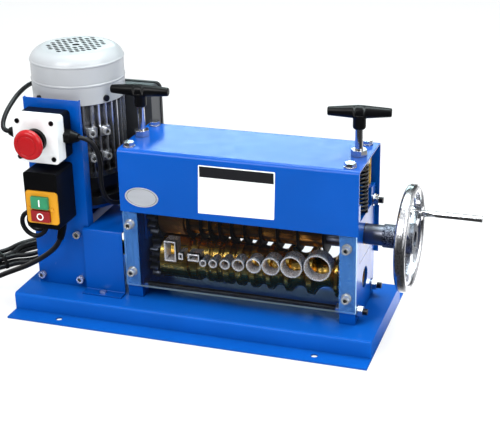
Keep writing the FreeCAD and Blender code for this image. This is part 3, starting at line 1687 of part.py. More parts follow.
def switchBox():
    x = ("switchLeft", "switchRight")
    z = ("switchLow", "switchHigh")
    body = extruded("XZ_Plane", "switchFront", "panelFront", rectangle(*x, *z, "switchRound"))
    wells = [buttonBlock(name, "gap", "switchFront - 1", "switchFront + buttonDeep + buttonTravel")
             for name in ("green", "red")]
    node("switch_housing", cut(body, *wells))
    bezel = extruded("XZ_Plane", "switchFront - bezelThick", "switchFront",
                     rectangle("bezelLeft", "switchRight", "bezelLow", "bezelHigh", "switchRound"))
    windows = [buttonBlock(name, "gap", "switchFront - bezelThick - 1", "switchFront + 1")
               for name in ("green", "red")]
    pins = [bar("y", "bezelPin", "switchFront - bezelThick - bezelPinProud", "switchFront",
                "buttonX + (%d) * bezelPinReach" % side, "bezelPinZ") for side in (-1, 1)]
    node("switch_bezel", joined(cut(bezel, *windows), *pins))
    for name in ("green", "red"):
        node(name + "_button", buttonBlock(name, "0", "switchFront - bezelThick - buttonProud",
                                           "switchFront + buttonDeep"))


def buttonBlock(name, grow, low, high):
    return block(("buttonX - %sWide / 2 - %s" % (name, grow), "buttonX + %sWide / 2 + %s" % (name, grow)),
                 (low, high),
                 ("%sZ - %sHigh / 2 - %s" % (name, name, grow), "%sZ + %sHigh / 2 + %s" % (name, name, grow)))


# cords

def controlLeads():
    """Two leads from the stop box to the terminal box, and two short loops at the switch."""
    radius = num("leadRadius")
    glandReach = num("stopWide / 2 + glandNut + glandDome")
    stopX, stopZ, glandY = num("stopX"), num("stopZ"), num("glandY")
    boxUnder = num("terminalLow")
    switchSide, switchUnder = num("switchLeft"), num("switchLow")
    left = [
        (stopX - glandReach, glandY, stopZ),
        (-252, glandY, stopZ),
        (-258, -50, 252),
        (-259.5, -39, 262),
        (-259, -22, 272),
        (-260, 4, 280),
        (-261, 36, 283),
        (-259, 66, 279),
        (-250, 90, 266),
        (-237, 105, 244),
        (-223, 109, 219),
        (-208, 107, 195),
        (-191, 103, 177),
        (-172, 98, 167),
        (-157, 92, 166.5),
        (-147, 88, 171),
        (-145, 87, 181),
        (-145, 87, boxUnder),
    ]
    right = [
        (stopX + glandReach, glandY, stopZ),
        (-138, glandY, stopZ),
        (-130, -52, 240),
        (-125, -47, 226),
        (-124, -44, 208),
        (-126, -43, 188),
        (-126, -40, 168),
        (-122, -30, 150),
        (-114, -8, 142),
        (-107, 20, 142),
        (-105, 46, 148),
        (-108, 66, 157),
        (-112, 80, 168),
        (-112, 82, 180),
        (-112, 82, boxUnder),
    ]
    outerLoop = [
        (switchSide, -66, 141),
        (-223, -66, 141),
        (-233, -65, 133),
        (-236, -63, 120),
        (-231, -61, 108),
        (-219, -60, 102),
        (-207, -60, 108),
        (-200, -61, 119),
        (-200, -61, switchUnder),
    ]
    innerLoop = [
        (switchSide, -56, 137),
        (-220, -56, 137),
        (-228, -57, 130.5),
        (-229, -57, 120),
        (-222, -56, 111.5),
        (-212, -55, 111),
        (-205, -55, 119),
        (-205, -55, switchUnder),
    ]
    leads = [cord("lead", points, radius) for points in (left, right, outerLoop, innerLoop)]
    node("control_leads", group(*leads))


def hankPoint(along, across, z):
    """A point of the hank's own frame on the bench."""
    turn = math.radians(num("hankTurn"))
    return (num("hankX") + along * math.cos(turn) - across * math.sin(turn),
            num("hankY") + along * math.sin(turn) + across * math.cos(turn), z)


def mainsCord():
    radius = num("mainsRadius")
    start = -num("hankReach") - 2 * radius
    across = num("hankEnd + 2 * hankStep")
    spine = reliefSpine()
    out = spine.valueAt(spine.LastParameter)
    node("mains_cord", cord("mains_cord", [
        out,
        out + spine.tangentAt(spine.LastParameter) * 9,
        (-194, -66, 86.5),
        (-211, -65, 73.5),
        (-234, -61, 58.5),
        (-259, -54, 45),
        (-285, -47, 31),
        (-311, -45, 16.5),
        (-338, -50, 6.5),
        (-366, -60, radius),
        (-394, -65, radius),
        (-417, -56, radius),
        (-427, -35, radius),
        hankPoint(start - 20, across, radius),
        hankPoint(start, across, radius),
    ], radius))


def hankEdges():
    """The hank: three turns of the cord in two layers, drawn in alike at the waist."""
    radius = num("mainsRadius")
    step = num("hankStep")
    inner = num("hankEnd")
    reach = num("hankReach")
    low = radius
    high = radius + step
    way = Vector(1, 0, 0)
    # each half turn: its radius, its layer, and its strand's place and layer at the waist before it
    turns = [
        (inner + 1.5 * step, low, 2, low),
        (inner + step, low, -2, low),
        (inner + 0.5 * step, low, 1, low),
        (inner, low, -1, low),
        (inner + 0.5 * step, high, 0, high),
        (inner + step, high, -1, high),
    ]
    entry = inner + 2 * step
    knots = [(Vector(-reach, entry, low), way)]
    side = 1
    for end, layer, slot, waistLayer in turns:
        knots.append((Vector(0, slot * step, waistLayer), way * side))
        knots.append((Vector(side * reach, side * end, layer), way * side))
        knots.append((Vector(side * (reach + end), 0, layer), Vector(0, -side, 0)))
        knots.append((Vector(side * reach, -side * end, layer), way * -side))
        side = -side
    exitAcross = num("plugAcross")
    plugZ = num("plugHigh / 2")
    knots.append((Vector(0, 2 * step, high), way))
    knots.append((Vector(reach, exitAcross, high), way))
    knots.append((Vector(reach + num("hankRun"), exitAcross, plugZ), way))
    edges = [Part.LineSegment(Vector(-reach - 2 * radius, entry, low), knots[0][0]).toShape()]
    for (start, startWay), (end, endWay) in zip(knots, knots[1:]):
        edges += biarc(start, startWay, end, endWay)
    last = Vector(num("plugStart"), exitAcross, plugZ)
    return edges + [Part.LineSegment(knots[-1][0], last).toShape()]


def mainsHank():
    edges = hankEdges()
    radius = num("mainsRadius")
    print("mains_hank: length %.0f, least gap to itself %.2f"
          % (sum(edge.Length for edge in edges), leastGap(edges, radius, 5 * radius)))
    piece = shaped(tube(edges, radius))
    piece.Placement.Rotation = Rotation(Vector(0, 0, 1), num("hankTurn"))
    put(piece, "hankX", "hankY", 0)
    node("mains_hank", piece)


def mainsPlug():
    """A moulded plug with two round pins, on the bench beyond the hank."""
    across, middle = "plugAcross", "plugHigh / 2"
    bodyStart = "plugStart + plugRelief"
    bodyEnd = "plugStart + plugRelief + plugLong"
    relief = cone("x", "mainsRadius + plugReliefWall", middle + " - 1", "plugStart", bodyStart + " + 1",
                  across, middle)
    body = extruded("YZ_Plane", bodyStart, bodyEnd,
                    rectangle("plugAcross - plugWide / 2", "plugAcross + plugWide / 2",
                              "0", "plugHigh", "plugRound"))
    pins = [bar("x", "pinRadius", bodyEnd + " - 1", bodyEnd + " + pinLong",
                "plugAcross + (%d) * pinSpan / 2" % side, middle) for side in (-1, 1)]
    node("mains_plug", swung(joined(relief, body, *pins), num("hankTurn"), "hankX", "hankY"))


def main():
    basePlate()
    sidePlate("side_plate_left", "leftPlateX")
    sidePlate("side_plate_right", "rightInner")
    tieRods()
    tieRodNuts()
    lowerBearings()
    bearingBlock("bearing_block_left", "leftInner", "leftPlateX", 1)
    bearingBlock("bearing_block_right", "rightInner", "rightOuter", -1)
    upperBearings()
    for side, x, foot, turn in (("left", "leftMiddle", "handleLeft", 3),
                                ("right", "rightMiddle", "handleRight", 9)):
        pressSpring("press_spring_" + side, x)
        springSeat("spring_seat_" + side, x)
        pressScrew("press_screw_" + side, x, foot)
        pressBar("press_bar_" + side, x, foot, turn)
    topCover()
    coverStandoffs()
    coverBolts()
    screwNuts()
    clearGuard()
    guideSleeves()
    capScrews()
    bladeShaft()
    blades()
    bladeSpacers()
    pressRoller()
    shaftCollars()
    node("upper_gear", gear("bladeZ", -1, 0))
    node("lower_gear", gear("feedZ", 1, 0.5))
    handwheel()
    crankRod()
    feedRoller()
    wormWheel()
    motorRotor()
    gearboxCase()
    gearCover()
    panScrews()
    motorFlange()
    motorFrame()
    fanCover()
    coolingFan()
    terminalBox()
    controlPanel()
    stopBox()
    stopButton()
    cableGlands()
    switchBox()
    controlLeads()
    mainsCord()
    mainsHank()
    mainsPlug()
    doc.recompute()
    export()


def export():
    for thing in doc.Objects:
        if "Invalid" in thing.State or "Error" in thing.State:
            raise ValueError("%s (%s) failed" % (thing.Name, thing.Label))
    for piece in nodes:
        if piece.Shape.isNull() or not piece.Shape.isValid() or not piece.Shape.Solids:
            raise ValueError("%s has no valid solid" % piece.Label)
    os.makedirs("parts", exist_ok=True)
    for piece in nodes:
        piece.Shape.exportStep("parts/%s.step" % piece.Label)
    print("%d nodes, %d solids" % (len(nodes), sum(len(p.Shape.Solids) for p in nodes)))


main()
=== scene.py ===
import math

import bmesh
import bpy
import numpy as np
from mathutils import Matrix, Vector


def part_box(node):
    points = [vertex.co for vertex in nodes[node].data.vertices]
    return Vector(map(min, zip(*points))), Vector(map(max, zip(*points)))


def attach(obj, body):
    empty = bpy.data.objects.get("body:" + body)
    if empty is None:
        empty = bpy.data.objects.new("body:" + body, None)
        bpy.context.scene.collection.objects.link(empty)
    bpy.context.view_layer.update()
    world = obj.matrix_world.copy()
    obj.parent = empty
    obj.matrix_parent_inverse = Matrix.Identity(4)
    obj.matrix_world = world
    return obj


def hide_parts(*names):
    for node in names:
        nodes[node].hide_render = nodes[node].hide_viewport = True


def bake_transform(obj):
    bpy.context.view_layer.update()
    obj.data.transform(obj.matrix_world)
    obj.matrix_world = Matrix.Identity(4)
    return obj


# Electric wire stripping machine, metres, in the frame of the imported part.

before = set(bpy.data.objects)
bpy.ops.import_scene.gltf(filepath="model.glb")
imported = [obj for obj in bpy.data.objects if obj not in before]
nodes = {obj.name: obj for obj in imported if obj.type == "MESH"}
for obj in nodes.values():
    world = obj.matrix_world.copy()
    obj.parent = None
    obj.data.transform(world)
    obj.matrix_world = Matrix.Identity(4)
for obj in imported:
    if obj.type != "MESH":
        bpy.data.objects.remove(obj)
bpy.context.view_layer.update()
print("frame loaded:", len(nodes), "nodes")


# shader maths

class Value:
    # a socket that takes part in sums and products
    def __init__(self, graph, socket):
        self.graph, self.socket = graph, socket

    def maths(self, operation, *others):
        return self.graph.make("ShaderNodeMath", {"operation": operation},
                               dict(enumerate((self,) + others)))

    def swapped(self, operation, other):
        return self.graph.make("ShaderNodeMath", {"operation": operation}, {0: other, 1: self})

    def __add__(self, other): return self.maths("ADD", other)
    def __radd__(self, other): return self.maths("ADD", other)
    def __sub__(self, other): return self.maths("SUBTRACT", other)
    def __rsub__(self, other): return self.swapped("SUBTRACT", other)
    def __mul__(self, other): return self.maths("MULTIPLY", other)
    def __rmul__(self, other): return self.maths("MULTIPLY", other)
    def __truediv__(self, other): return self.maths("DIVIDE", other)
    def __rtruediv__(self, other): return self.swapped("DIVIDE", other)

    def most(self, other): return self.maths("MAXIMUM", other)
    def size(self): return self.maths("ABSOLUTE")
    def root(self): return self.maths("SQRT")

    def between(self, low, high):
        # 0 below low, 1 above high and smooth in between
        return self.graph.make("ShaderNodeMapRange", {"interpolation_type": "SMOOTHSTEP"},
                               {"Value": self, "From Min": low, "From Max": high})


class Graph:
    # a node tree that is written as sums
    def __init__(self, tree, coordinates):
        self.tree = tree
        self.place = self.make("ShaderNodeTexCoord", {}, {}, coordinates)

    def make(self, kind, settings, inputs, output=0):
        node = self.tree.nodes.new(kind)
        for name, value in settings.items():
            setattr(node, name, value)
        for name, value in inputs.items():
            self.link(node.inputs[name], value)
        return Value(self, node.outputs[output])

    def link(self, socket, value):
        if isinstance(value, Value):
            self.tree.links.new(value.socket, socket)
        elif socket.type == "RGBA":
            socket.default_value = tuple(value) + (1,) * (4 - len(value))
        else:
            socket.default_value = value

    def noise(self, scale, detail=2, stretch=(1, 1, 1)):
        where = self.make("ShaderNodeMapping", {}, {"Vector": self.place, "Scale": stretch})
        return self.make("ShaderNodeTexNoise", {}, {"Vector": where, "Scale": scale, "Detail": detail})

    def mix(self, share, low, high):
        return self.make("ShaderNodeMix", {"data_type": "RGBA"}, {0: share, 6: low, 7: high}, 2)

    def axes(self, of=None):
        split = self.make("ShaderNodeSeparateXYZ", {}, {"Vector": of or self.place}).socket.node
        return [Value(self, split.outputs[i]) for i in range(3)]

    def far(self, across, along):
        return (across * across + along * along).root()

    def ray(self, kind):
        return self.make("ShaderNodeLightPath", {}, {}, kind)

    def blend(self, share, first, second):
        return self.make("ShaderNodeMixShader", {}, {0: share, 1: first, 2: second})


class Shade(Graph):
    # a material, its principled surface and the object's own coordinates
    def __init__(self, name, **settings):
        self.material = bpy.data.materials.new(name)
        self.material.use_nodes = True
        super().__init__(self.material.node_tree, "Object")
        self.surface = self.tree.nodes["Principled BSDF"]
        self.set(**settings)

    def set(self, **inputs):
        for name, value in inputs.items():
            self.link(self.surface.inputs[name.replace("_", " ")], value)

    def end(self, shader):
        self.link(self.tree.nodes["Material Output"].inputs["Surface"], shader)

    def bump(self, height, depth, radius=0.0005):
        # light catches a narrow radius on every edge
        rounded = self.make("ShaderNodeBevel", {"samples": 4}, {"Radius": radius})
        self.set(Normal=self.make("ShaderNodeBump", {}, {
            "Height": height, "Distance": depth, "Normal": rounded}))

    def open(self, reach):
        # 0 deep in a recess and 1 out in the open; the materials use it to paint shade into recesses
        return self.make("ShaderNodeAmbientOcclusion", {"samples": 6}, {"Distance": reach}, "AO")


def scaled(colour, share):
    return tuple(share * c for c in colour)


# materials

def paint(name, colour, rough=0.18, gloss=0.16):
    shade = Shade(name, Specular_IOR_Level=gloss, Coat_Weight=0.05, Coat_Roughness=0.1)
    cloud = shade.noise(9, 3)
    coated = shade.mix(cloud.between(0.3, 0.75), scaled(colour, 0.88), colour)
    # painted shade: the colour falls to 0.35 of itself deep in corners, recesses and gaps between parts
    shade.set(Base_Color=shade.mix(shade.open(0.03).between(0.1, 0.6), scaled(colour, 0.35), coated),
              Roughness=rough + 0.12 * shade.noise(60, 2))
    shade.bump(shade.noise(900, 1), 0.00003, 0.0009)
    return shade.material


def metal(name, colour, rough=0.3, stretch=(1, 1, 1), grain=700, depth=0.00002, metallic=1.0, reach=0.004):
    # stretch is small along the lay of the tool marks
    shade = Shade(name, Metallic=metallic)
    marks = shade.noise(grain, 3, stretch)
    stain = shade.noise(40, 3)
    clean = shade.mix(stain.between(0.3, 0.7), scaled(colour, 0.78), colour)
    # painted shade: the colour falls almost to black deep in recesses, sockets and gaps
    shade.set(Base_Color=shade.mix(shade.open(reach).between(0.2, 0.8), scaled(colour, 0.06), clean),
              Roughness=rough + 0.2 * marks - 0.1)
    shade.bump(marks, depth, 0.0004)
    return shade.material


def yellowZinc(name, pale, deep, olive, stretch):
    # passivated zinc drifts from straw to olive and rose
    shade = Shade(name, Metallic=1.0)
    drift = shade.noise(55, 4)
    tint = shade.noise(120, 2, stretch)
    straw = shade.mix(drift.between(0.35, 0.65), deep, pale)
    shade.set(Base_Color=shade.mix(tint.between(0.45, 0.75), straw, olive),
              Roughness=0.2 + 0.15 * tint)
    shade.bump(shade.noise(600, 2, stretch), 0.00002, 0.0004)
    return shade.material


def plastic(name, colour, rough=0.35, grain=1500, depth=0.00003, gloss=0.5):
    shade = Shade(name, Specular_IOR_Level=gloss)
    cloud = shade.noise(30, 2)
    shade.set(Base_Color=shade.mix(cloud.between(0.3, 0.7), scaled(colour, 0.82), colour),
              Roughness=rough + 0.1 * cloud)
    shade.bump(shade.noise(grain, 1), depth, 0.0006)
    return shade.material


def clearSheet(name, sheet):
    # clear plastic: a thin gloss; pale edges, partly the frosted sawn edge and partly a painted highlight;
    # and a painted blue light where it lies on the blue plates, standing in for the lit plates seen through
    # it
    shade = Shade(name, Metallic=1.0, Base_Color=(0.9, 0.93, 1.0))
    shade.set(Roughness=0.05 + 0.05 * shade.noise(14, 2))
    across = shade.axes()[0]
    onPlates = (across - sheet["middle"]).size().between(sheet["inner"], sheet["inner"] + 0.0004)
    facing = shade.axes(shade.make("ShaderNodeTexCoord", {}, {}, "Normal"))[1].size()
    edge = 1 - facing.between(0.4, 0.6)
    glance = shade.make("ShaderNodeFresnel", {}, {"IOR": 1.49})
    clear = shade.make("ShaderNodeBsdfTransparent", {}, {"Color": (0.96, 0.98, 1.0)})
    glossy = shade.blend(0.9 * glance, clear, Value(shade, shade.surface.outputs[0]))
    # painted light: a blue diffuse layer over the side plates stands in for the lit plate behind the sheet
    withPaintedPlateLight = shade.blend(sheet["paintedPlateLight"] * onPlates, glossy,
                         shade.make("ShaderNodeBsdfDiffuse", {}, {"Color": sheet["paintedPlateColour"]}))
    # pale diffuse on the edge faces: partly the frosted sawn edge, partly a painted highlight
    shade.end(shade.blend(sheet["rim"] * edge, withPaintedPlateLight,
                          shade.make("ShaderNodeBsdfDiffuse", {}, {"Color": sheet["pale"]})))
    return shade.material


def sheath(name):
    # a cord's sheath, finely ridged where it was drawn
    shade = Shade(name, Specular_IOR_Level=0.22)
    cloud = shade.noise(70, 2)
    shade.set(Base_Color=shade.mix(cloud, (0.004, 0.004, 0.005), (0.009, 0.009, 0.011)),
              Roughness=0.3 + 0.15 * cloud)
    shade.bump(shade.noise(800, 2), 0.00004, 0.0003)
    return shade.material


def slotShadeMask(shade, made):
    # painted shade: 1 in and just round each slot of the fan cover's top, from the staggered rows that it
    # is punched in
    long, wide, pitch = made["long"], made["wide"], made["pitch"]
    reach, bare, rim, top = made["reach"], made["bare"], made["rim"], made["top"]
    x, y, z = shade.axes()
    x, y = x - made["x"], y - made["y"]
    turn = math.radians(made["turn"])
    u = x * math.cos(turn) + y * math.sin(turn)
    v = y * math.cos(turn) - x * math.sin(turn)
    row = (v * (-1 / made["row"])).maths("ROUND")
    across = (u - pitch / 2 - row * made["shift"]) * (1 / pitch)
    offU = (across - across.maths("ROUND")) * pitch
    offV = v + row * made["row"]
    centreU, centreV = (u - offU).size(), (v - offV).size()
    inside = 1 - shade.far(centreU + long / 2, centreV + wide / 2).between(reach, reach + 0.0001)
    there = inside * shade.far(centreU, centreV).between(bare - 0.0001, bare)
    away = shade.far((offU.size() - (long - wide) / 2).most(0), offV) - wide / 2
    return there * (1 - away.between(rim - 0.0003, rim)) * z.between(top - 0.002, top - 0.001)


def enamel(name, colour, rough=0.34, coat=0.1, grille=None):
    # a satin enamel, a little darker in patches, with painted shade, black and dull, in its grille's slots
    # and round each slot
    shade = Shade(name, Specular_IOR_Level=0.3, Coat_Weight=coat, Coat_Roughness=0.16)
    cloud = shade.noise(14, 3)
    skin = shade.mix(cloud.between(0.3, 0.7), scaled(colour, 0.92), colour)
    rough = rough + 0.1 * cloud
    if grille:
        x, y, z = shade.axes()
        radius, top = grille["radius"], grille["top"]
        inward = 1 - shade.far(x - grille["x"], y - grille["y"]).between(radius, radius + 0.0005)
        below = 1 - z.between(top - 0.0001, top - 0.00004)
        # painted shade: the slot walls below the top and a thin rim round each slot are painted black
        dark = (inward * below).most(slotShadeMask(shade, grille))
        skin = shade.mix(dark, skin, (0.002, 0.002, 0.002))
        rough = rough + 0.5 * dark
        shade.set(Coat_Weight=coat * (1 - dark))
    shade.set(Base_Color=skin, Roughness=rough)
    shade.bump(shade.noise(1100, 1), 0.00003, 0.0007)
    return shade.material


def finMetal(name, colour):
    # a sprayed light-alloy body: half metallic, darker towards its foot, with painted shade deep between
    # its fins
    shade = Shade(name, Metallic=0.85, Coat_Weight=0.5, Coat_Roughness=0.1)
    low = shade.axes()[2].between(0.17, 0.25)
    cloud = shade.noise(120, 3)
    body = shade.mix(low * shade.open(0.009).between(0.15, 0.7), scaled(colour, 0.1), colour)
    shade.set(Base_Color=shade.mix(0.3 * cloud, body, scaled(colour, 0.3)), Roughness=0.16 + 0.15 * cloud)
    shade.bump(shade.noise(500, 3), 0.00008, 0.0006)
    return shade.material


def wheelMetal(name, wheel):
    # plated rim and spokes round a grainy dark hub
    shade = Shade(name, Metallic=1.0)
    y, z = shade.axes()[1:]
    hub = 1 - shade.far(y - wheel["y"], z - wheel["z"]).between(wheel["hub"], wheel["hub"] + 0.006)
    pores = shade.noise(620, 4)
    plate = shade.mix(pores.between(0.3, 0.55), (0.3, 0.31, 0.35), (0.72, 0.73, 0.76))
    cast = shade.mix(pores.between(0.42, 0.6), (0.02, 0.023, 0.035), (0.22, 0.24, 0.3))
    shade.set(Base_Color=shade.mix(hub, plate, cast), Roughness=0.15 + 0.25 * hub + 0.12 * pores)
    shade.bump(pores * (0.12 + hub), 0.0005, 0.0008)
    return shade.material


def panScrewMetal(name):
    # black where the screws hold plastic and hood, zinc on the cover's foot
    shade = Shade(name, Metallic=1.0, Roughness=0.35)
    high = shade.axes()[2].between(0.1, 0.11)
    shade.set(Base_Color=shade.mix(high, (0.7, 0.71, 0.73), (0.03, 0.03, 0.034)))
    shade.bump(shade.noise(900, 2), 0.00003, 0.0005)
    return shade.material


def ovalMetal(name, plate):
    # satin silver with a dark line inside its rim; nothing is written on it
    shade = Shade(name, Metallic=0.35)
    x, _, z = shade.axes()
    share = shade.far((x - plate["x"]) / (plate["wide"] / 2), (z - plate["z"]) / (plate["high"] / 2))
    inner, outer = plate["line"]
    line = share.between(inner, inner + 0.01) * (1 - share.between(outer - 0.01, outer))
    grain = shade.noise(300, 2, (0.05, 1, 1))
    satin = shade.mix(grain, (0.42, 0.43, 0.46), (0.54, 0.55, 0.58))
    shade.set(Base_Color=shade.mix(line, satin, (0.02, 0.02, 0.022)), Roughness=0.32 + 0.12 * grain)
    shade.bump(grain, 0.00002, 0.0003)
    return shade.material


def signPaint(name, sign):
    # a bare white plate with a black band along its top
    shade = Shade(name, Specular_IOR_Level=0.15)
    x, _, z = shade.axes()
    left, right, low, high = sign["band"]
    grain = shade.noise(260, 2)
    beside = (x - (left + right) / 2).size() - (right - left) / 2
    out = beside.most((z - (low + high) / 2).size() - (high - low) / 2)
    white = shade.mix(grain.between(0.3, 0.7), (0.80, 0.80, 0.79), (0.86, 0.86, 0.85))
    shade.set(Base_Color=shade.mix(out.between(0, 0.0003), (0.012, 0.012, 0.014), white),
              Roughness=0.26 + 0.1 * grain)
    shade.bump(grain, 0.00002, 0.0002)
    return shade.material


# where the marks of single pieces lie: the plates' profiles are (share of the outline, height) pairs

# clear guard: the share and colour of the painted blue light over the plates, and of the pale edges, partly
# a painted highlight
guard = {"middle": 0.061, "inner": 0.1345, "paintedPlateLight": 0.27, "paintedPlateColour": (0.12, 0.38, 1.0), "rim": 0.7,
         "pale": (0.55, 0.75, 0.9)}
wheel = {"y": 0.0025, "z": 0.132, "hub": 0.0175}
sign = {
    "corners": [(0.0128, 0.1602), (0.1133, 0.1622), (0.1154, 0.2252), (0.0153, 0.2250)],
    "radius": 0.0012,
    "face": -0.0549,
    "profile": [(1, 0), (1, 0.0003), (0.998, 0.0004), (0.3, 0.0004)],
    "band": (0.0166, 0.1135, 0.2096, 0.2236),
}
oval = {
    "x": -0.0639,
    "z": 0.173,
    "wide": 0.0460,
    "high": 0.0266,
    "face": -0.0549,
    "steps": 72,
    "profile": [(1, 0), (1, 0.0006), (0.98, 0.0008), (0.93, 0.0008), (0.90, 0.0004), (0.3, 0.0004)],
    "line": (0.865, 0.905),
}
# the fan cover's grille, with the width of the painted shade rim round each slot
grille = {"x": -0.185, "y": 0.0325, "radius": 0.0425, "top": 0.3428, "turn": -11, "row": 0.0063,
          "pitch": 0.0114, "shift": 0.0068, "long": 0.0056, "wide": 0.0038, "reach": 0.041,
          "bare": 0.0106, "rim": 0.0009}


def finishes():
    # each finish and the nodes that carry it
    zincLay = (0.15, 1, 1)
    black = (0.003, 0.003, 0.0035)
    return {
        "bluePaint": (paint("bluePaint", (0.0, 0.068, 0.36)),
                      ["side_plate_left", "side_plate_right", "top_cover", "gear_cover",
                       "control_panel", "bearing_block_left", "bearing_block_right"]),
        "basePaint": (paint("basePaint", (0.003, 0.09, 0.43), 0.26, 0.05), ["base_plate"]),
        "gearboxPaint": (paint("gearboxPaint", (0.0, 0.055, 0.3), 0.26), ["gearbox_case"]),
        "brightZinc": (metal("brightZinc", (0.7, 0.71, 0.73), 0.22),
                       ["tie_rod_nuts", "cover_bolts", "screw_nuts", "spring_seat_left",
                        "spring_seat_right"]),
        "screwZinc": (panScrewMetal("screwZinc"), ["pan_screws"]),
        "sleeveZinc": (metal("sleeveZinc", (0.86, 0.86, 0.9), 0.28, metallic=0.68), ["guide_sleeves"]),
        "chrome": (metal("chrome", (0.68, 0.69, 0.71), 0.14, depth=0.00001),
                   ["crank_rod", "press_screw_left", "press_screw_right"]),
        # painted shade reaches further here, to blacken the hex sockets
        "socketChrome": (metal("socketChrome", (0.85, 0.86, 0.88), 0.2, metallic=0.75, reach=0.007),
                         ["cap_screws"]),
        "blackOxide": (metal("blackOxide", (0.04, 0.04, 0.044), 0.35), ["tie_rods"]),
        "rollerZinc": (yellowZinc("rollerZinc", (1.0, 0.62, 0.14), (0.62, 0.33, 0.05),
                                  (0.35, 0.25, 0.06), zincLay),
                       ["feed_roller", "cover_standoffs"]),
        # painted shade: the spacers carry a darker, browner copy of the roller's yellow zinc, as the same
        # plating in the shade under the cover
        "spacerZincInShade": (yellowZinc("spacerZincInShade", (0.5, 0.2, 0.03), (0.2, 0.07, 0.012),
                                  (0.12, 0.06, 0.02), zincLay),
                       ["blade_spacers"]),
        "knurledBrown": (metal("knurledBrown", (0.4, 0.19, 0.07), 0.36), ["press_roller"]),
        "bladeSteel": (metal("bladeSteel", (0.05, 0.05, 0.056), 0.5), ["blades"]),
        "bronze": (metal("bronze", (0.6, 0.4, 0.16), 0.3),
                   ["lower_bearings", "upper_bearings", "worm_wheel"]),
        "groundSteel": (metal("groundSteel", (0.2, 0.21, 0.25), 0.34, (0.1, 1, 1)),
                        ["blade_shaft", "shaft_collars", "upper_gear", "lower_gear", "motor_rotor"]),
        "wheelMetal": (wheelMetal("wheelMetal", wheel), ["handwheel"]),
        "springBlack": (plastic("springBlack", black, 0.28), ["press_spring_left", "press_spring_right"]),
        "clearSheet": (clearSheet("clearSheet", guard), ["clear_guard"]),
        "finMetal": (finMetal("finMetal", (0.6, 0.61, 0.66)), ["motor_frame"]),
        "motorBlack": (paint("motorBlack", (0.004, 0.004, 0.005), 0.24, 0.5), ["motor_flange"]),
        "hoodGrey": (enamel("hoodGrey", (0.38, 0.385, 0.4), 0.33, 0.45, grille), ["fan_cover"]),
        "fanPlastic": (plastic("fanPlastic", (0.005, 0.005, 0.005), 0.6, gloss=0.2), ["cooling_fan"]),
        "boxGrey": (enamel("boxGrey", (0.035, 0.037, 0.042), 0.4), ["terminal_box"]),
        "lidBlack": (plastic("lidBlack", (0.006, 0.006, 0.007), 0.4, gloss=0.3), ["terminal_lid"]),
        "lidWhite": (plastic("lidWhite", (0.8, 0.8, 0.8), 0.28), ["estop_lid"]),
        "boxBlack": (plastic("boxBlack", black, 0.27, gloss=0.1),
                     ["estop_base", "estop_collar", "estop_stem", "cable_glands", "switch_housing"]),
        "handleBlack": (plastic("handleBlack", black, 0.25, gloss=0.12),
                        ["press_bar_left", "press_bar_right"]),
        "signalRed": (plastic("signalRed", (0.40, 0.006, 0.009), 0.22, gloss=0.3), ["estop_button"]),
        "bezelYellow": (plastic("bezelYellow", (0.6, 0.26, 0.008), 0.25, gloss=0.3),
                        ["switch_bezel"]),
        "keyGreen": (plastic("keyGreen", (0.03, 0.22, 0.1), 0.25, gloss=0.3), ["green_button"]),
        "keyRed": (plastic("keyRed", (0.26, 0.012, 0.015), 0.25, gloss=0.3), ["red_button"]),
        "markWhite": (plastic("markWhite", (0.85, 0.85, 0.83), 0.4), []),
        "plateSilver": (ovalMetal("plateSilver", oval), []),
        "signPaint": (signPaint("signPaint", sign), []),
        "sheath": (sheath("sheath"), ["mains_plug"]),
    }


materials = {}
for finish, (material, names) in finishes().items():
    materials[finish] = material
    for name in names:
        mesh = nodes[name].data
        mesh.materials.clear()
        mesh.materials.append(material)
print("materials:", len(materials))


# meshes from grids of points

def addPiece(name, points, faces, finish, body, replaced=(), smooth=True):
    # a mesh from an array of points and a list of faces, riding on a body or, with none, left unattached
    mesh = bpy.data.meshes.new(name)
    mesh.from_pydata(np.asarray(points, float).reshape(-1, 3).tolist(), [], faces)
    whole = bmesh.new()
    whole.from_mesh(mesh)
    bmesh.ops.recalc_face_normals(whole, faces=whole.faces)
    whole.to_mesh(mesh)
    whole.free()
    mesh.materials.append(materials[finish])
    mesh.polygons.foreach_set("use_smooth", np.full(len(mesh.polygons), smooth))
    piece = bpy.data.objects.new(name, mesh)
    bpy.context.scene.collection.objects.link(piece)
    if body:
        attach(piece, body)
    if replaced:
        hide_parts(*replaced)
    return piece


def gridFaces(rows, cols, loopRows=False, caps=False, start=0):
    # quads of a grid whose columns close on themselves; caps close the first and the last ring
    i, j = np.meshgrid(np.arange(rows if loopRows else rows - 1), np.arange(cols), indexing="ij")
    nextI, nextJ = (i + 1) % rows, (j + 1) % cols
    quads = np.stack([i * cols + j, i * cols + nextJ, nextI * cols + nextJ, nextI * cols + j], -1)
    faces = (quads.reshape(-1, 4) + start).tolist()
    if caps:
        faces.append([start + k for k in reversed(range(cols))])
        faces.append([start + (rows - 1) * cols + k for k in range(cols)])
    return faces


def turnedGrid(profile, centre, axis, steps):
    # each (along, radius) of the profile goes once round the axis through the centre
    along, radius = np.asarray(profile, float).T
    angle = np.linspace(0, 2 * math.pi, steps, endpoint=False)
    x = np.repeat(along[:, None], steps, 1)
    y = radius[:, None] * np.cos(angle)
    z = radius[:, None] * np.sin(angle)
    order = {"x": (x, y, z), "y": (z, x, y), "z": (y, z, x)}[axis]
    return np.stack(order, -1) + np.asarray(centre)


def roundedCorner(before, here, after, size, steps=6):
    # a quadratic arc in place of a corner
    first = here + size * (before - here) / np.linalg.norm(before - here)
    last = here + size * (after - here) / np.linalg.norm(after - here)
    share = np.linspace(0, 1, steps)[:, None]
    return (1 - share) ** 2 * first + 2 * share * (1 - share) * here + share ** 2 * last


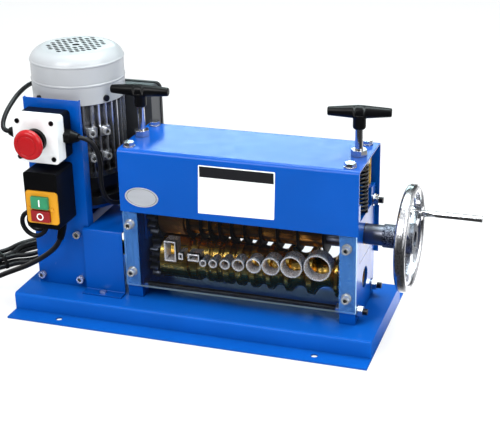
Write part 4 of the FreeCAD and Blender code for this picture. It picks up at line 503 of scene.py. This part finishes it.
def roundedLine(corners):
    # a profile of (along, radius, fillet) corners, with each fillet at most half of its sides
    points = np.array([c[:2] for c in corners], float)
    out = [points[0]]
    for i in range(1, len(points) - 1):
        before, here, after = points[i - 1:i + 2]
        size = min(corners[i][2], 0.5 * np.linalg.norm(here - before), 0.5 * np.linalg.norm(after - here))
        out.extend(roundedCorner(before, here, after, size))
    out.append(points[-1])
    return np.array(out)


def pressedRings(outline, profile, face):
    # rings of a flat plate on a plane of constant y: (share of the outline, height) pairs
    outline = np.asarray(outline, float)
    centre = outline.mean(0)
    rings = []
    for share, height in profile:
        x, z = (centre + share * (outline - centre)).T
        rings.append(np.stack([x, np.full(len(x), face - height), z], -1))
    return np.array(rings)


def roundedQuad(corners, radius):
    # a closed outline of four corners, each rounded
    corners = np.array(corners, float)
    return np.concatenate([roundedCorner(corners[i - 1], corners[i], corners[(i + 1) % 4], radius)
                           for i in range(4)])


# plates on the cover

outline = roundedQuad(sign["corners"], sign["radius"])
rings = pressedRings(outline, sign["profile"], sign["face"])
addPiece("signPlate", rings, gridFaces(len(rings), len(outline), caps=True), "signPaint", "frame",
         smooth=False)

turn = np.linspace(0, 2 * math.pi, oval["steps"], endpoint=False)
outline = np.stack([oval["x"] + oval["wide"] / 2 * np.cos(turn),
                    oval["z"] + oval["high"] / 2 * np.sin(turn)], -1)
rings = pressedRings(outline, oval["profile"], oval["face"])
addPiece("ovalPlate", rings, gridFaces(len(rings), len(outline), caps=True), "plateSilver", "frame",
         smooth=False)


# press handles

handle = {
    "height": 0.022,
    "steps": 48,
    "bar": [(-0.03925, 0, 0), (-0.03925, 0.0054, 0.002), (-0.012, 0.0076, 0.008), (0, 0.0086, 0.008),
            (0.012, 0.0076, 0.008), (0.03925, 0.0054, 0.002), (0.03925, 0, 0)],
    "neck": [(0, 0, 0), (0, 0.0082, 0.0055), (0.014, 0.0081, 0.004), (0.019, 0.0094, 0.002),
             (0.020, 0, 0)],
    "y": 0.0025,
    "sides": {"left": (-0.08375, 0.2749, 3), "right": (0.20575, 0.2700, 9)},
}


def addHandle(side, x, foot, turn):
    # the bar and the neck that grows out into it
    steps = handle["steps"]
    bar = turnedGrid(roundedLine(handle["bar"]), (0, 0, handle["height"]), "x", steps)
    neck = turnedGrid(roundedLine(handle["neck"]), (0, 0, 0), "z", steps)
    points = np.concatenate([bar.reshape(-1, 3), neck.reshape(-1, 3)])
    faces = gridFaces(len(bar), steps) + gridFaces(len(neck), steps, start=bar.size // 3)
    cos, sin = math.cos(math.radians(turn)), math.sin(math.radians(turn))
    spin = np.array([[cos, sin, 0], [-sin, cos, 0], [0, 0, 1]])
    points = points @ spin + (x, handle["y"], foot)
    addPiece("handle_" + side + "_grip", points, faces, "handleBlack", "handle_" + side,
             ["press_bar_" + side])


for side, (x, foot, turn) in handle["sides"].items():
    addHandle(side, x, foot, turn)


# knurled press roller

roller = {"start": -0.056, "end": -0.021, "radius": 0.0282, "bore": 0.0102, "pitch": 0.0029,
          "depth": 0.0008, "y": 0.0025, "z": 0.132, "rows": 84, "steps": 420}


def addKnurledRoller(made):
    along = np.linspace(made["start"], made["end"], made["rows"])
    angle = np.linspace(0, 2 * math.pi, made["steps"], endpoint=False)
    count = round(2 * math.pi * made["radius"] / made["pitch"])
    a = angle[None, :] * count / 2
    b = along[:, None] * math.pi / made["pitch"]
    height = np.abs(np.sin(a + b)) * np.abs(np.sin(a - b))
    radius = made["radius"] - made["depth"] * (1 - height)
    radius[[0, -1]] = made["bore"]
    along[0], along[-1] = along[1], along[-2]
    points = np.stack([np.repeat(along[:, None], made["steps"], 1), made["y"] + radius * np.cos(angle),
                       made["z"] + radius * np.sin(angle)], -1)
    addPiece("knurledRoller", points, gridFaces(*radius.shape), "knurledBrown", "blade_rotor",
             ["press_roller"])


addKnurledRoller(roller)


# emergency stop's cap

mushroom = {
    "centre": (-0.195, 0, 0.2467),
    "profile": [(-0.0915, 0, 0), (-0.0915, 0.0108, 0.001), (-0.0955, 0.0197, 0.003),
                (-0.1000, 0.0200, 0.002), (-0.1036, 0.0172, 0.002), (-0.1043, 0.0136, 0.0008),
                (-0.1036, 0.0131, 0.0002), (-0.1036, 0.0127, 0.0002), (-0.1044, 0.0122, 0.0006),
                (-0.1050, 0.0060, 0.003), (-0.1050, 0, 0)],
    "steps": 96,
}
rings = turnedGrid(roundedLine(mushroom["profile"]), mushroom["centre"], "y", mushroom["steps"])
addPiece("stopCap", rings, gridFaces(len(rings), mushroom["steps"]), "signalRed", "stop_head",
         ["estop_button"])


# marks on the two keys

marks = {
    "face": -0.094,
    "x": -0.1905,
    "green": {"z": 0.166, "radius": 0.0009, "reach": 0.0040, "steps": 32,
              "profile": [(1, 0), (1, 0.0003), (0.5, 0.0003)]},
    "red": {"z": 0.1475, "steps": 48,
            "profile": [(0, 0.0049), (-0.0003, 0.0048), (-0.0003, 0.0034), (0, 0.0033)]},
}
line = marks["green"]
turn = np.linspace(0, 2 * math.pi, line["steps"], endpoint=False)
outline = np.stack([marks["x"] + line["radius"] * np.cos(turn),
                    line["z"] + line["radius"] * np.sin(turn) + line["reach"] * np.sign(np.sin(turn))], -1)
rings = pressedRings(outline, line["profile"], marks["face"])
addPiece("greenMark", rings, gridFaces(len(rings), line["steps"], caps=True), "markWhite", "green_key",
         smooth=False)

ring = marks["red"]
rings = turnedGrid(ring["profile"], (marks["x"], marks["face"], ring["z"]), "y", ring["steps"])
addPiece("redMark", rings, gridFaces(len(rings), ring["steps"], loopRows=True), "markWhite", "red_key",
         smooth=False)


# press springs

spring = {"wire": 0.0032, "coils": 12, "split": 4, "slack": 0.003, "steps": 28, "sides": 12}


def springPart(name, node, turns, bodies):
    # some turns of a press spring, laid as a still mesh in the world frame
    low, high = (np.array(corner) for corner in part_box(node))
    wire = spring["wire"] / 2
    middle, radius = (low + high) / 2, (high[0] - low[0]) / 2 - wire
    rise = (high[2] - low[2] - 2 * wire) / spring["coils"]
    turn = np.linspace(*turns, (turns[1] - turns[0]) * spring["steps"] + 1)
    cos, sin = np.cos(2 * math.pi * turn), np.sin(2 * math.pi * turn)
    outward = np.stack((cos, sin, 0 * turn), -1)
    along = np.stack((-radius * sin, radius * cos, np.full(len(turn), rise / 2 / math.pi)), -1)
    along /= np.linalg.norm(along, axis=1)[:, None]
    across = np.cross(along, outward)
    centre = outward * radius
    centre[:, 2] = rise * turn
    centre += (middle[0], middle[1], low[2] + wire)
    around = np.linspace(0, 2 * math.pi, spring["sides"], endpoint=False)[None, :, None]
    rings = centre[:, None] + wire * (np.cos(around) * outward[:, None] + np.sin(around) * across[:, None])
    faces = gridFaces(len(rings), spring["sides"], caps=True)
    piece = addPiece(name, rings, faces, "springBlack", None, [node])
    start, end = centre[0, 2], centre[-1, 2]
    if bodies[0] == "frame":
        start += spring["slack"]
    else:
        end -= spring["slack"]
    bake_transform(piece)


for side in ("left", "right"):
    node = "press_spring_" + side
    springPart("spring_" + side + "_low", node, (0, spring["split"]), ("carriage", "frame"))
    springPart("spring_" + side + "_high", node, (spring["split"], spring["coils"]),
               ("frame", "seat_" + side))
print("pieces added")


# cords

mains = {
    "diameter": 0.007,
    "route": [
        (-0.1805, -0.064, 0.106), (-0.1839, -0.064, 0.0977), (-0.194, -0.066, 0.0865),
        (-0.211, -0.065, 0.0735), (-0.234, -0.061, 0.0585), (-0.259, -0.054, 0.045),
        (-0.285, -0.047, 0.031), (-0.311, -0.045, 0.0165), (-0.338, -0.050, 0.0065),
        (-0.366, -0.060, 0.0036), (-0.394, -0.065, 0.0036), (-0.417, -0.056, 0.0036),
        (-0.427, -0.035, 0.0036),
    ],
    "hankCentre": (-0.338, 0.042),
    "hankTurn": 53,
    "hankReach": 0.0628,
    "innerEnd": 0.0146,
    "step": 0.0084,
    "run": 0.030,
    "plugHeight": 0.0085,
    "length": 1.68,
    "rest": 0.0001,
    "tie": {"wide": 0.005, "thick": 0.0011, "steps": 96},
}


def laidPoints(cord, points):
    # points of the hank's own frame, turned and moved to where it lies
    turn = math.radians(cord["hankTurn"])
    a, b, z = np.moveaxis(np.asarray(points, float), -1, 0)
    x = cord["hankCentre"][0] + a * math.cos(turn) - b * math.sin(turn)
    y = cord["hankCentre"][1] + a * math.sin(turn) + b * math.cos(turn)
    return np.stack([x, y, z], -1)


def hankRoute(cord):
    # half turns at alternate ends, with each strand drawn in to its own place at the waist
    step, inner, reach = cord["step"], cord["innerEnd"], cord["hankReach"]
    low = cord["diameter"] / 2 + cord["rest"]
    high = low + step
    # each turn's end, its layer, and its place and height at the waist
    turns = [(inner + 1.5 * step, low, 2, low), (inner + step, low, -2, low),
             (inner + 0.5 * step, low, 1, low), (inner, low, -1, low),
             (inner + 0.5 * step, high, 0, high), (inner + step, high, -1, high)]
    entry = inner + 2 * step
    points = [(-reach - 0.027, entry, low), (-reach - 0.007, entry, low)]
    last, lastLayer, side = entry, low, 1
    for end, layer, slot, waist in turns:
        points += [(-side * reach * 0.95, side * last, lastLayer),
                   (-side * reach * 0.55, side * last, lastLayer),
                   (-side * reach * 0.3, slot * step, waist), (0, slot * step, waist),
                   (side * reach * 0.3, slot * step, waist), (side * reach * 0.6, side * end, layer)]
        angle = np.radians(np.linspace(80, -80, 7))
        points += list(zip(side * (reach + end * np.cos(angle)), side * end * np.sin(angle), [layer] * 7))
        last, lastLayer, side = end, layer, -side
    across = inner + 1.5 * step
    points += [(-reach * 0.95, last, high), (-reach * 0.55, last, high), (-reach * 0.3, 2 * step, high),
               (0, 2 * step, high), (reach * 0.3, 2 * step, high), (reach * 0.65, across, high),
               (reach, across, high), (reach + 0.4 * cord["run"], across, high),
               (reach + 0.7 * cord["run"], across, cord["plugHeight"]),
               (reach + cord["run"], across, cord["plugHeight"]),
               (reach + cord["run"] + cord["diameter"], across, cord["plugHeight"])]
    return laidPoints(cord, points).tolist()


def softLine(name, routes, diameter, finish, body, replaced):
    # smooth round lines that follow their points
    line = bpy.data.curves.new(name, "CURVE")
    line.dimensions = "3D"
    line.bevel_depth = diameter / 2
    line.bevel_resolution = 5
    line.use_fill_caps = True
    line.resolution_u = 8
    for route in routes:
        spline = line.splines.new("NURBS")
        spline.points.add(len(route) - 1)
        spline.points.foreach_set("co", np.column_stack([route, np.ones(len(route))]).ravel())
        spline.order_u = 3
        spline.use_endpoint_u = True
    line.materials.append(materials[finish])
    piece = bpy.data.objects.new(name, line)
    bpy.context.scene.collection.objects.link(piece)
    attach(piece, body)
    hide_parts(*replaced)
    return piece


def hankTie(cord):
    # a strap drawn tight round the strands at the waist
    wide, thick = cord["tie"]["wide"], cord["tie"]["thick"]
    step, radius = cord["step"], cord["diameter"] / 2
    strands = np.array([(-2, 0), (-1, 0), (1, 0), (2, 0), (-1, 1), (0, 1), (2, 1)]) * step
    strands = strands + (0, radius + cord["rest"])
    angle = np.linspace(0, 2 * math.pi, cord["tie"]["steps"], endpoint=False)
    way = np.stack([np.cos(angle), np.sin(angle)], -1)
    outer = strands[np.argmax(way @ strands.T, 1)]
    rings = []
    for across, out in ((-wide, 0), (-wide, thick * 0.7), (-wide * 0.85, thick), (wide * 0.85, thick),
                        (wide, thick * 0.7), (wide, 0)):
        b, z = (outer + (radius + out) * way).T
        z = np.maximum(z, 0.0003 + 0.4 * (thick - out))
        rings.append(np.stack([np.full(len(b), across / 2), b, z], -1))
    return laidPoints(cord, rings)


mainsLine = softLine("mainsCord", [mains["route"] + hankRoute(mains)], mains["diameter"], "sheath",
                     "frame", ["mains_cord", "mains_hank"])
rings = hankTie(mains)
addPiece("cordTie", rings, gridFaces(len(rings), mains["tie"]["steps"], loopRows=True), "boxBlack",
         "frame")

leads = {
    "diameter": 0.0062,
    "left": [
        (-0.2443, -0.056, 0.2467), (-0.252, -0.056, 0.2467), (-0.258, -0.050, 0.252),
        (-0.2595, -0.039, 0.262), (-0.259, -0.022, 0.272), (-0.260, 0.004, 0.280),
        (-0.261, 0.036, 0.283), (-0.259, 0.066, 0.279), (-0.250, 0.090, 0.266),
        (-0.237, 0.105, 0.244), (-0.223, 0.109, 0.219), (-0.208, 0.107, 0.195),
        (-0.191, 0.103, 0.177), (-0.172, 0.098, 0.167), (-0.157, 0.092, 0.1665),
        (-0.147, 0.088, 0.171), (-0.145, 0.087, 0.181), (-0.145, 0.087, 0.190),
    ],
    "right": [
        (-0.1457, -0.056, 0.2467), (-0.138, -0.056, 0.2467), (-0.130, -0.052, 0.240),
        (-0.125, -0.047, 0.226), (-0.124, -0.044, 0.208), (-0.126, -0.043, 0.188),
        (-0.126, -0.040, 0.168), (-0.122, -0.030, 0.150), (-0.114, -0.008, 0.142),
        (-0.107, 0.020, 0.142), (-0.105, 0.046, 0.148), (-0.108, 0.066, 0.157),
        (-0.112, 0.080, 0.168), (-0.112, 0.082, 0.180), (-0.112, 0.082, 0.190),
    ],
    "outerLoop": [
        (-0.213, -0.066, 0.141), (-0.223, -0.066, 0.141), (-0.233, -0.065, 0.133),
        (-0.236, -0.063, 0.120), (-0.231, -0.061, 0.108), (-0.219, -0.060, 0.102),
        (-0.207, -0.060, 0.108), (-0.200, -0.061, 0.119), (-0.200, -0.061, 0.129),
    ],
    "innerLoop": [
        (-0.213, -0.056, 0.137), (-0.220, -0.056, 0.137), (-0.228, -0.057, 0.1305),
        (-0.229, -0.057, 0.120), (-0.222, -0.056, 0.1115), (-0.212, -0.055, 0.111),
        (-0.205, -0.055, 0.119), (-0.205, -0.055, 0.129),
    ],
}
softLine("controlLeads", [leads[k] for k in ("left", "right", "outerLoop", "innerLoop")],
         leads["diameter"], "sheath", "frame", ["control_leads"])
print("cords laid")


# stage

def buildWorld(light):
    # the camera and clear parts see white, gloss sees a tent with dark gaps, the rest sees a plain sky
    world = bpy.data.worlds.new("studio")
    bpy.context.scene.world = world
    world.use_nodes = True
    sky = Graph(world.node_tree, "Generated")
    x, y, z = sky.axes()
    tent = x.between(*light["right"]).most((0 - x).between(*light["left"])).most(z.between(*light["above"]))

    def glow(colour, strength=1):
        return sky.make("ShaderNodeBackground", {}, {"Color": colour, "Strength": strength})

    white, black = glow((1, 1, 1)), glow((0, 0, 0))
    bright = glow(light["backColour"], light["backLight"])
    plain = glow(light["skyColour"], light["sky"])
    mirrored = sky.blend(light["gap"] + (1 - light["gap"]) * tent, black, white)
    panel = 1
    for axis, (low, high, soft) in zip((x, z), light["back"]):
        panel = panel * axis.between(low - soft, low + soft) * (1 - axis.between(high - soft, high + soft))
    mirrored = sky.blend(panel * y.between(0.3, 0.6), mirrored, bright)
    seen = sky.ray("Is Camera Ray").most(sky.ray("Is Transmission Ray"))
    unseen = sky.blend(sky.ray("Is Glossy Ray"), plain, mirrored)
    sky.link(world.node_tree.nodes["World Output"].inputs["Surface"], sky.blend(seen, unseen, white))


def buildFloor(made):
    # pale to the camera, and to gloss dark in front, grey behind and bright beside the handwheel
    size = made["size"]
    corners = [(-size, -size, 0), (size, -size, 0), (size, size, 0), (-size, size, 0)]
    mesh = bpy.data.meshes.new("floor")
    mesh.from_pydata(corners, [], [(0, 1, 2, 3)])
    shade = Shade("floor", Base_Color=(0.86, 0.86, 0.87), Roughness=0.6)
    x, y, z = shade.axes()
    beside = x.between(*made["beside"]) * (1 - x.between(*made["past"])) * y.between(*made["rise"])
    white, dark, grey, bright = (shade.make("ShaderNodeEmission", {}, {"Strength": strength})
                                 for strength in (1, made["dark"], made["grey"], made["bright"]))
    mirrored = shade.blend(beside, shade.blend(y.between(*made["behind"]), dark, grey), bright)
    lit = Value(shade, shade.surface.outputs[0])
    seen = shade.blend(made["white"] * shade.ray("Is Camera Ray"), lit, white)
    shade.end(shade.blend(shade.ray("Is Glossy Ray"), seen, mirrored))
    mesh.materials.append(shade.material)
    floor = bpy.data.objects.new("floor", mesh)
    bpy.context.scene.collection.objects.link(floor)


def addLamp(name, place, target, size, watts, colour=(1, 1, 1)):
    lamp = bpy.data.lights.new(name, "AREA")
    lamp.shape = "RECTANGLE"
    lamp.size, lamp.size_y = size
    lamp.energy = watts
    lamp.color = colour
    holder = bpy.data.objects.new(name, lamp)
    bpy.context.scene.collection.objects.link(holder)
    holder.location = place
    holder.rotation_euler = (Vector(target) - Vector(place)).to_track_quat("-Z", "Y").to_euler()


studio = {
    "world": {"skyColour": (0.93, 0.96, 1.0), "sky": 0.6, "gap": 0.06, "right": (0.25, 0.8),
              "left": (0.45, 0.9), "above": (0.55, 0.95), "backColour": (0.7, 1, 1), "backLight": 11,
              "back": ((-0.43, -0.17, 0.03), (0.29, 0.36, 0.02))},
    "floor": {"size": 30, "white": 0.75, "dark": 0.05, "grey": 0.8, "bright": 3.3, "beside": (0.2, 0.27),
              "past": (0.31, 0.36), "rise": (-0.05, 0.15), "behind": (-0.1, 0.5)},
    "lamps": [
        ("keyLamp", (-0.6, -1.6, 1.7), (0, 0, 0.12), (1.2, 0.9), 36),
        ("fillLamp", (1.6, -0.6, 1.3), (0, 0, 0.12), (0.9, 1.2), 20),
        ("topLamp", (0.2, 0.4, 2.0), (0, 0, 0.1), (1.6, 0.9), 58, (0.85, 1, 1)),
    ],
}
buildWorld(studio["world"])
buildFloor(studio["floor"])
for lamp in studio["lamps"]:
    addLamp(*lamp)


# camera

view = {
    "place": (0.5301, -1.3602, 0.7454),
    "yaw": 18.95,
    "pitch": 22.87,
    "roll": -1.27,
    "lens": 86.7,
    "sensor": 36,
    "near": 0.05,
}
camera = bpy.data.objects.new("camera", bpy.data.cameras.new("camera"))
bpy.context.scene.collection.objects.link(camera)
camera.data.sensor_width = view["sensor"]
camera.data.lens = view["lens"]
camera.data.clip_start = view["near"]
camera.matrix_world = (Matrix.Translation(view["place"])
                       @ Matrix.Rotation(math.radians(view["yaw"]), 4, "Z")
                       @ Matrix.Rotation(math.radians(90 - view["pitch"]), 4, "X")
                       @ Matrix.Rotation(math.radians(view["roll"]), 4, "Z"))
bpy.context.scene.camera = camera
bpy.context.scene.view_settings.view_transform = "Standard"
print("stage and camera set")
